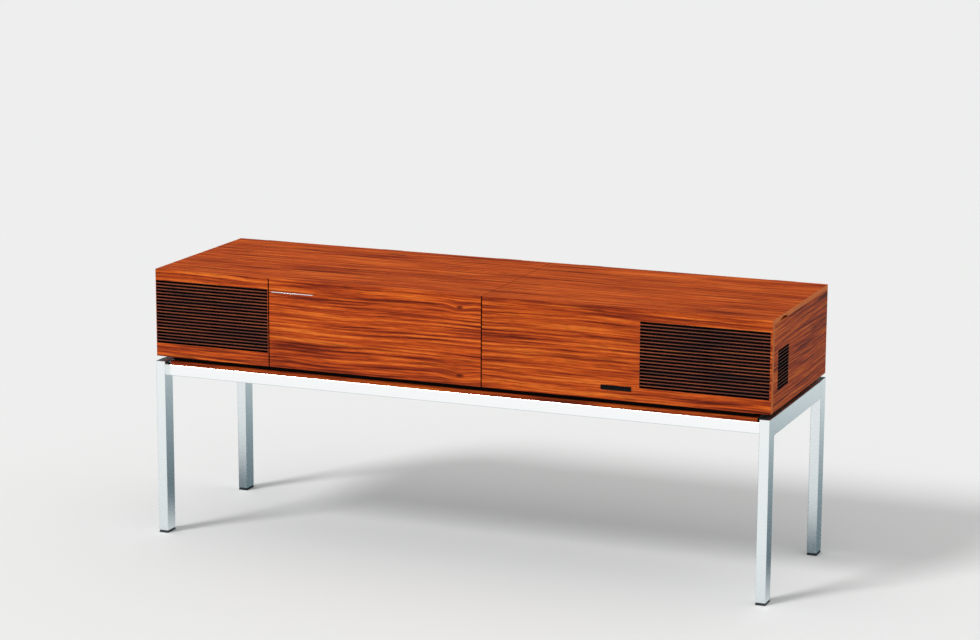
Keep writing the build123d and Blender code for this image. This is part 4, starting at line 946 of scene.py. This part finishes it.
def rearSockets(look):
    # round sockets with a raised lip, five contact holes and a key
    pitch, ring = look["pitch"], look["contactRing"]
    x, y, z = look["socketX"] - pitch * (look["sockets"] - 1) / 2, chassisHigh[1], look["socketZ"]
    parts = [turned("socketBody", (x, y, z), "Y", [
        (-2.6, 7.2), (0, 7.2), (0, 10.2), (0.9, 10.2), (1.3, 9.8), (1.3, 8), (0.5, 7.6), (0.5, 6.9),
        (0.9, 6.6)], 32)]
    for degrees in range(0, 181, 45):
        turn = math.radians(degrees)
        parts.append(turned("contact", (x + ring * math.cos(turn), y, z - ring * math.sin(turn)), "Y",
                            [(0.6, 0.9), (1.05, 0.9), (1.15, 0.7), (0.75, 0.5)], 12))
    key = startBlock("socketKey", (x - 0.9, y + 0.6, z + 4.6), (x + 0.9, y + 1.3, z + 6.6))
    sinkSide(key, "Y", 0.2, 0.1)
    first = joined(parts + [key], "rearSocket")
    paint(first, 1, lambda spot, way: spot.y > y + 0.72 and
          abs(math.hypot(spot.x - x, spot.z - z) - ring) < 1)
    row = joined(repeated(first, [(pitch * i, 0, 0) for i in range(look["sockets"])]), "rearSockets")
    return finished(row, "root", ["mouldedKnobPlastic", "zincPlatedSteel"])


valveCans(chassisLook)
mainsTransformer(chassisLook)
rearSockets(chassisLook)
print("chassis details done")


# record changer
deckLow, deckHigh = ends("changer_deck")
changerLook = {"spindle": middle("platter")[:2], "arm": middle("tonearm_base")[:2],
               "axisZ": ends("tonearm_base")[1][2] - 6, "armLength": 208, "restShare": 0.72,
               "knob": middle("changer_knob")[:2], "knobSides": 60, "beadInset": 5, "beadHeight": 1.4,
               "platterRadius": 134, "mat": 2.6, "matStart": 9, "matEnd": 52, "rib": 4}


def platterPieces(look):
    (x, y), r, mat = look["spindle"], look["platterRadius"], look["mat"]
    base, high = ends("platter")[0][2], ends("platter")[1][2] - ends("platter")[0][2]
    dish = turned("platterDish", (x, y, base), "Z", [
        (3, 22), (3, r - 5), (0, r - 4.5), (0, r - 1.2), (0.6, r - 0.3), (2, r), (4.5, r), (5, r - 0.8),
        (6.2, r - 0.8), (6.7, r), (high - 1.4, r), (high - 0.5, r - 0.4), (high, r - 1.2),
        (high, r - 2.2), (high - mat, r - 2.6), (high - mat, 20)], 128)
    finished(dish, "platter", ["turnedPlatterAluminium"], replaces=("platter",),
             smooth=30)
    radius = r - look["matStart"]
    rings = [(high - mat - 0.2, r - 3), (high - 0.7, r - 3), (high, r - 3.6), (high, radius)]
    while radius > look["matEnd"]:
        rings += [(high - 0.6, radius - 0.5), (high - 0.6, radius - 1.5), (high, radius - 2),
                  (high, radius - look["rib"])]
        radius -= look["rib"]
    rings += [(high, radius - 4), (high - 0.9, radius - 5), (high - 0.9, 12), (high - 0.3, 11),
              (high - 0.3, 5.6)]
    disc = turned("platterMat", (x, y, base), "Z", rings, 96)
    return finished(disc, "platter", ["mouldedRubberMat"], smooth=25)


def spindlePiece(look):
    pin = turned("recordSpindle", (*look["spindle"], deckHigh[2]), "Z", [
        (-7, 7.6), (-2, 8), (-2, 5), (0, 5), (0, 13.4), (0.6, 14), (5, 14), (5.7, 13.4), (5.7, 5),
        (19.6, 5), (20, 4.6), (20, 3.2), (20.5, 3.2), (20.8, 3.55), (47, 3.55), (47.4, 3.2),
        (48.2, 3.2), (48.6, 3.55), (56, 3.55), (58.5, 3.1), (60.6, 2.2), (61.6, 1.2), (62, 0.4)], 32)
    return finished(pin, "root", ["polishedChrome"], replaces=("changer_spindle",))


def armPieces(look):
    (x, y), z, base = look["arm"], look["axisZ"], deckHigh[2]
    tip = y - look["armLength"]
    arm = [turned("armTube", (x, y + 35, z), "-Y", [
               (0, 3.4), (0.6, 4), (22, 4), (29, 5.6), (41, 5.6), (48, 4), (208, 3.5), (232, 3.5)], 24),
           turned("armWeight", (x, y + 40, z), "-Y", [
               (0, 8.6), (1.2, 10), (5, 10), (5.5, 9.4), (6.5, 9.4), (7, 10), (15, 10), (15.5, 9.4),
               (16.5, 9.4), (17, 10), (20.8, 10), (22, 9)], 32),
           turned("armPivot", (x - 12, y, z), "X", [(0, 1.2), (0.3, 1.5), (23.7, 1.5), (24, 1.2)], 16),
           turned("armHub", (x - 8.4, y, z), "X", [(0, 4.2), (0.6, 5), (16.2, 5), (16.8, 4.2)], 24)]
    finished(joined(arm, "pickupArm"), "tonearm", ["drawnAluminiumTube"],
             replaces=("tonearm",), smooth=30)
    # pick-up shell: a block drawn in at both ends, with a cartridge below and a finger lift
    shell = startBlock("pickupShell", (x - 8, tip - 13.2, z - 4), (x + 8, tip + 30.8, z + 4))
    for side, shares, rise in (("Y", (0.62, 1, 0.9), 0), ("-Y", (0.82, 1, 0.8), 4)):
        pick(shell, lambda spot, way: way.dot(compass[side]) > 0.9)
        squeeze(shares, (x, 0, z + rise))
    cutAcross(shell, [(0, tip - 9, 0), (0, tip + 16, 0)], compass["Y"])
    pick(shell, lambda spot, way: way.z < -0.7 and tip - 8.5 < spot.y < tip + 15.5)
    extrude((0, 0, -7.6))
    squeeze((0.8, 0.66, 1), (x, tip - 2, 0))
    lift = startBlock("fingerLift", (x + 6, tip - 6, z + 2.2), (x + 11.6, tip - 2.5, z + 3.2))
    pick(lift, lambda spot, way: way.x > 0.9)
    bpy.ops.transform.translate(value=(0, 0, mm(0.7)))
    head = joined([shell, lift], "pickupShell")
    finished(head, "tonearm", ["creamMouldedShell"], edge=0.7, segments=3)
    # pillar and fork
    pillar = turned("armPillar", (x, y, base), "Z", [
        (-6, 5), (0.3, 5), (0.3, 14.6), (0.8, 15), (4, 15), (6, 14), (7.5, 11), (8.2, 8), (23, 8)], 40)
    stand = [pillar, startBlock("armFork", (x - 12, y - 7, z - 12), (x + 12, y + 7, z - 9))]
    for place in (x - 10.5, x + 10.5):
        cheek = startBlock("armCheek", (place - 1.5, y - 7, z - 9), (place + 1.5, y + 7, z + 6))
        roundCorners(cheek, "X", 6, 8, lambda spot: spot.z > z + 5)
        stand.append(cheek)
    finished(joined(stand, "armPillar"), "tonearm_base", ["hammerGreyEnamel"], edge=0.25,
             replaces=("tonearm_base",))
    # rest with a forked saddle
    restY = y - look["armLength"] * look["restShare"]
    post = turned("armRest", (x, restY, base), "Z",
                  [(0, 6), (0.8, 6.2), (2, 5.4), (2.6, 4), (23, 3.4), (26.7, 3.4)], 24)
    saddle = startBlock("armSaddle", (x - 8, restY - 4, base + 26.7), (x + 8, restY + 4, base + 30.7))
    sinkSide(saddle, "Z", 1.6, -1.2)
    holder = joined([post, saddle], "armRest")
    return finished(holder, "root", ["mouldedKnobPlastic"], edge=0.5, replaces=("arm_rest",))


def startKnob(look):
    (x, y), base = look["knob"], deckHigh[2]
    knob = turned("changerKnob", (x, y, base), "Z", [
        (-6, 3), (0.3, 3), (0.3, 14.6), (0.7, 15), (3.4, 15), (4.8, 14), (4.8, 12.6), (6, 12.5),
        (14, 11.6), (15.4, 11), (16, 10), (16, 9), (15.5, 8.6), (15.5, 7), (15.8, 4)],
        look["knobSides"])
    flute(knob, (x, y, base), "Z", look["knobSides"], 6, 14, 0.1, 0.4)
    paint(knob, 1, lambda spot, way: spot.z > base + 15.2 and math.hypot(spot.x - x, spot.y - y) < 9.2)
    return finished(knob, "changer_knob", ["mouldedKnobPlastic", "spunAluminiumCap"],
                    replaces=("changer_knob",), smooth=28)


def deckBead(look):
    inset, z = look["beadInset"], deckHigh[2]
    bead = ringFrame("deckBead", (deckLow[0] + inset, deckLow[1] + inset, z),
                     (deckHigh[0] - inset, deckHigh[1] - inset, z + look["beadHeight"]), "Z", 13, 8, 3)
    return finished(bead, "root", ["polishedChrome"], edge=0.45, segments=3)


platterPieces(changerLook)
spindlePiece(changerLook)
armPieces(changerLook)
startKnob(changerLook)
deckBead(changerLook)
print("record changer done")


# lid stays
leftArm, rightArm, pivots = ends("stay_arm_left"), ends("stay_arm_right"), ends("stay_pivots")
# for each side the wall that the plate lies on, the arm's inner face, and the way the pins point
stayLook = {"pivot": (middle("stay_pivots")[1], pivots[0][2] + 24),
            "pin": (leftArm[0][1] + 5, leftArm[1][2] - 5), "width": 10, "thickness": 2, "plate": 2,
            "corner": 5, "left": (pivots[0][0], leftArm[0][0], 1),
            "right": (pivots[1][0], rightArm[1][0], -1)}


def stayArm(look, side):
    _, inner, out = look[side]
    (ya, za), (yb, zb), half = look["pivot"], look["pin"], look["width"] / 2
    reach, tilt = math.hypot(yb - ya, zb - za) / 2 + half, math.atan2(zb - za, yb - ya)
    y, z = (ya + yb) / 2, (za + zb) / 2
    x0, x1 = sorted((inner, inner + out * look["thickness"]))
    bar = startBlock("stayArm", (x0 + 0.14, y - reach, z - half), (x1 - 0.14, y + reach, z + half),
                     rotation=(tilt, 0, 0))
    roundCorners(bar, "X", half * 0.8, 8)
    pick(bar, lambda spot, way: abs(way.x) > 0.9)
    sink(0.4, 0)
    squeeze((1.16, 1, 1), ((x0 + x1) / 2, 0, 0))
    way = "X" if out > 0 else "-X"
    pin = turned("stayPin", (inner, yb, zb), way,
                 [(0.1, 2.5), (4.6, 2.5), (4.6, 3.8), (5.2, 4), (5.6, 3.2)], 24)
    rivet = turned("stayRivet", (inner, ya, za), way, [(2, 3.6), (2.3, 3.4), (2.8, 2.2), (2.9, 0.8)], 20)
    return finished(joined([bar, pin, rivet], "stayArm" + side.title()), side + "_stay",
                    ["zincPlatedSteel"], replaces=("stay_arm_" + side,))


def pivotPlates(look):
    y, z = look["pivot"]
    plates = []
    for side in ("left", "right"):
        wall, _, out = look[side]
        x0, x1 = sorted((wall, wall + out * look["plate"]))
        plate = startBlock("pivotPlate", (x0, y - 14, z - 24), (x1, y + 14, z + 7))
        roundCorners(plate, "X", look["corner"], 5)
        way = "X" if out > 0 else "-X"
        plates += [plate, turned("pivotPin", (wall, y, z), way, [(1, 2.5), (4.5, 2.5)], 20)]
        for dy in (-8, 8):
            plates.append(slottedHead("pivotScrew", (wall + out * 1.7, y + dy, z - 15), way, 3.2, 0.9,
                                      slot=0.8, cut=0.5))
    return finished(joined(plates, "pivotPlates"), "root", ["zincPlatedSteel"], edge=0.2,
                    replaces=("stay_pivots",))


stayArm(stayLook, "left")
stayArm(stayLook, "right")
pivotPlates(stayLook)
print("lid stays done")


# stage
stageLook = {
    "floorSize": 120,
    "floorColour": "#E6E7E6",
    "worldStrength": 0.84,      # light that the world gives
    "backdrop": 0.93,           # what the camera sees behind the floor
    "sunStrength": 1.85,
    "sunAngle": 16,
    "sunFrom": (-0.46, -0.66, 0.70),
    # painted reflection, seen only in polished pieces: distance in front of (-) or behind the object in m,
    # brightness; the grey band just behind the object is a painted shadow
    "floorReach": 3,
    "paintedFloorReflection": [(-3, "#FFFFFF"), (-2.1, "#FFFFFF"), (-1.75, "#F6F8F8"), (-1, "#EFF3F4"),
                    (-0.3, "#E0E6E8"), (0.1, "#5E7077"), (0.8, "#85979D"), (1.4, "#AFBDC1"),
                    (1.9, "#D8E1E3"), (3, "#DFE5E7")],
    # painted sky reflection, seen only in polished pieces, by direction, front to back
    "paintedSkyReflection": [(-1, "#FFFFFF"), (-0.2, "#E8EBEC"), (0.35, "#7C868A"), (1, "#20262A")],
    "skyFall": [(0, 0.50), (1, 1)],    # world light from the horizon to overhead
}


def mirrorRamp(add, places, reach, tones):
    # colours along y from -reach to reach
    share = add("MapRange", [places.outputs["Y"], -reach, reach])
    return add("ValToRGB", [share], stops=[((y + reach) / (2 * reach), code) for y, code in tones])


def makeStage(look):
    clearAll()
    bpy.ops.mesh.primitive_plane_add(size=look["floorSize"], location=(0, 0, 0))
    floor = bpy.context.object
    floor.name = "studioFloor"
    material, add, shader = newMaterial("mattPaperFloor")
    plug(shader, {"Base Color": srgb(look["floorColour"]), "Roughness": 0.9, "Specular IOR Level": 0.1})
    # painted reflection: to glossy rays the floor glows as a white card in front and a grey band behind, a
    # painted shadow of the object
    places = add("SeparateXYZ", [add("TexCoord").outputs["Object"]])
    reflectionGlow = add("Emission", [mirrorRamp(add, places, look["floorReach"], look["paintedFloorReflection"]), 1])
    output = shader.outputs[0].links[0].to_node
    plug(output, [add("MixShader", [add("LightPath").outputs["Is Glossy Ray"], shader, reflectionGlow])])
    floor.data.materials.append(material)
    world = bpy.data.worlds.new("studioWorld")
    bpy.context.scene.world = world
    world.use_nodes = True
    world.node_tree.nodes.clear()
    add = partial(addNode, world.node_tree)
    places = add("SeparateXYZ", [add("TexCoord").outputs["Generated"]])
    fall = add("ValToRGB", [places.outputs["Z"]], stops=look["skyFall"])
    lit = add("Background", [fall, look["worldStrength"]])
    skyReflectionPaint = add("Background", [mirrorRamp(add, places, 1, look["paintedSkyReflection"]), 1])
    seen = add("Background", [srgb("#FFFFFF"), look["backdrop"]])
    path = add("LightPath")
    glossy = add("MixShader", [path.outputs["Is Glossy Ray"], lit, skyReflectionPaint])
    add("OutputWorld", [add("MixShader", [path.outputs["Is Camera Ray"], glossy, seen])])
    sun = bpy.data.lights.new("keySun", "SUN")
    sun.energy = look["sunStrength"]
    sun.angle = math.radians(look["sunAngle"])
    lamp = bpy.data.objects.new("keySun", sun)
    bpy.context.scene.collection.objects.link(lamp)
    lamp.rotation_euler = Vector(look["sunFrom"]).to_track_quat("Z", "Y").to_euler()


makeStage(stageLook)

# camera: place in m, turns in radians, lens in mm
cameraLook = {"place": (2.563, -6.3326, 2.0055), "yaw": 0.3837, "pitch": 0.2071, "roll": 0.0044,
              "lens": 103.592}


def makeCamera(look):
    data = bpy.data.cameras.new("studioCamera")
    data.sensor_width = 36
    data.sensor_fit = "HORIZONTAL"
    data.lens = look["lens"]
    data.clip_end = 200
    camera = bpy.data.objects.new("studioCamera", data)
    bpy.context.scene.collection.objects.link(camera)
    pose = Matrix.Translation(look["place"])
    for turn, axis in ((look["yaw"], "Z"), (quarter - look["pitch"], "X"), (look["roll"], "Z")):
        pose = pose @ Matrix.Rotation(turn, 4, axis)
    camera.matrix_world = pose
    bpy.context.scene.camera = camera


makeCamera(cameraLook)
bpy.context.scene.view_settings.view_transform = "Standard"
print("stage and camera done")
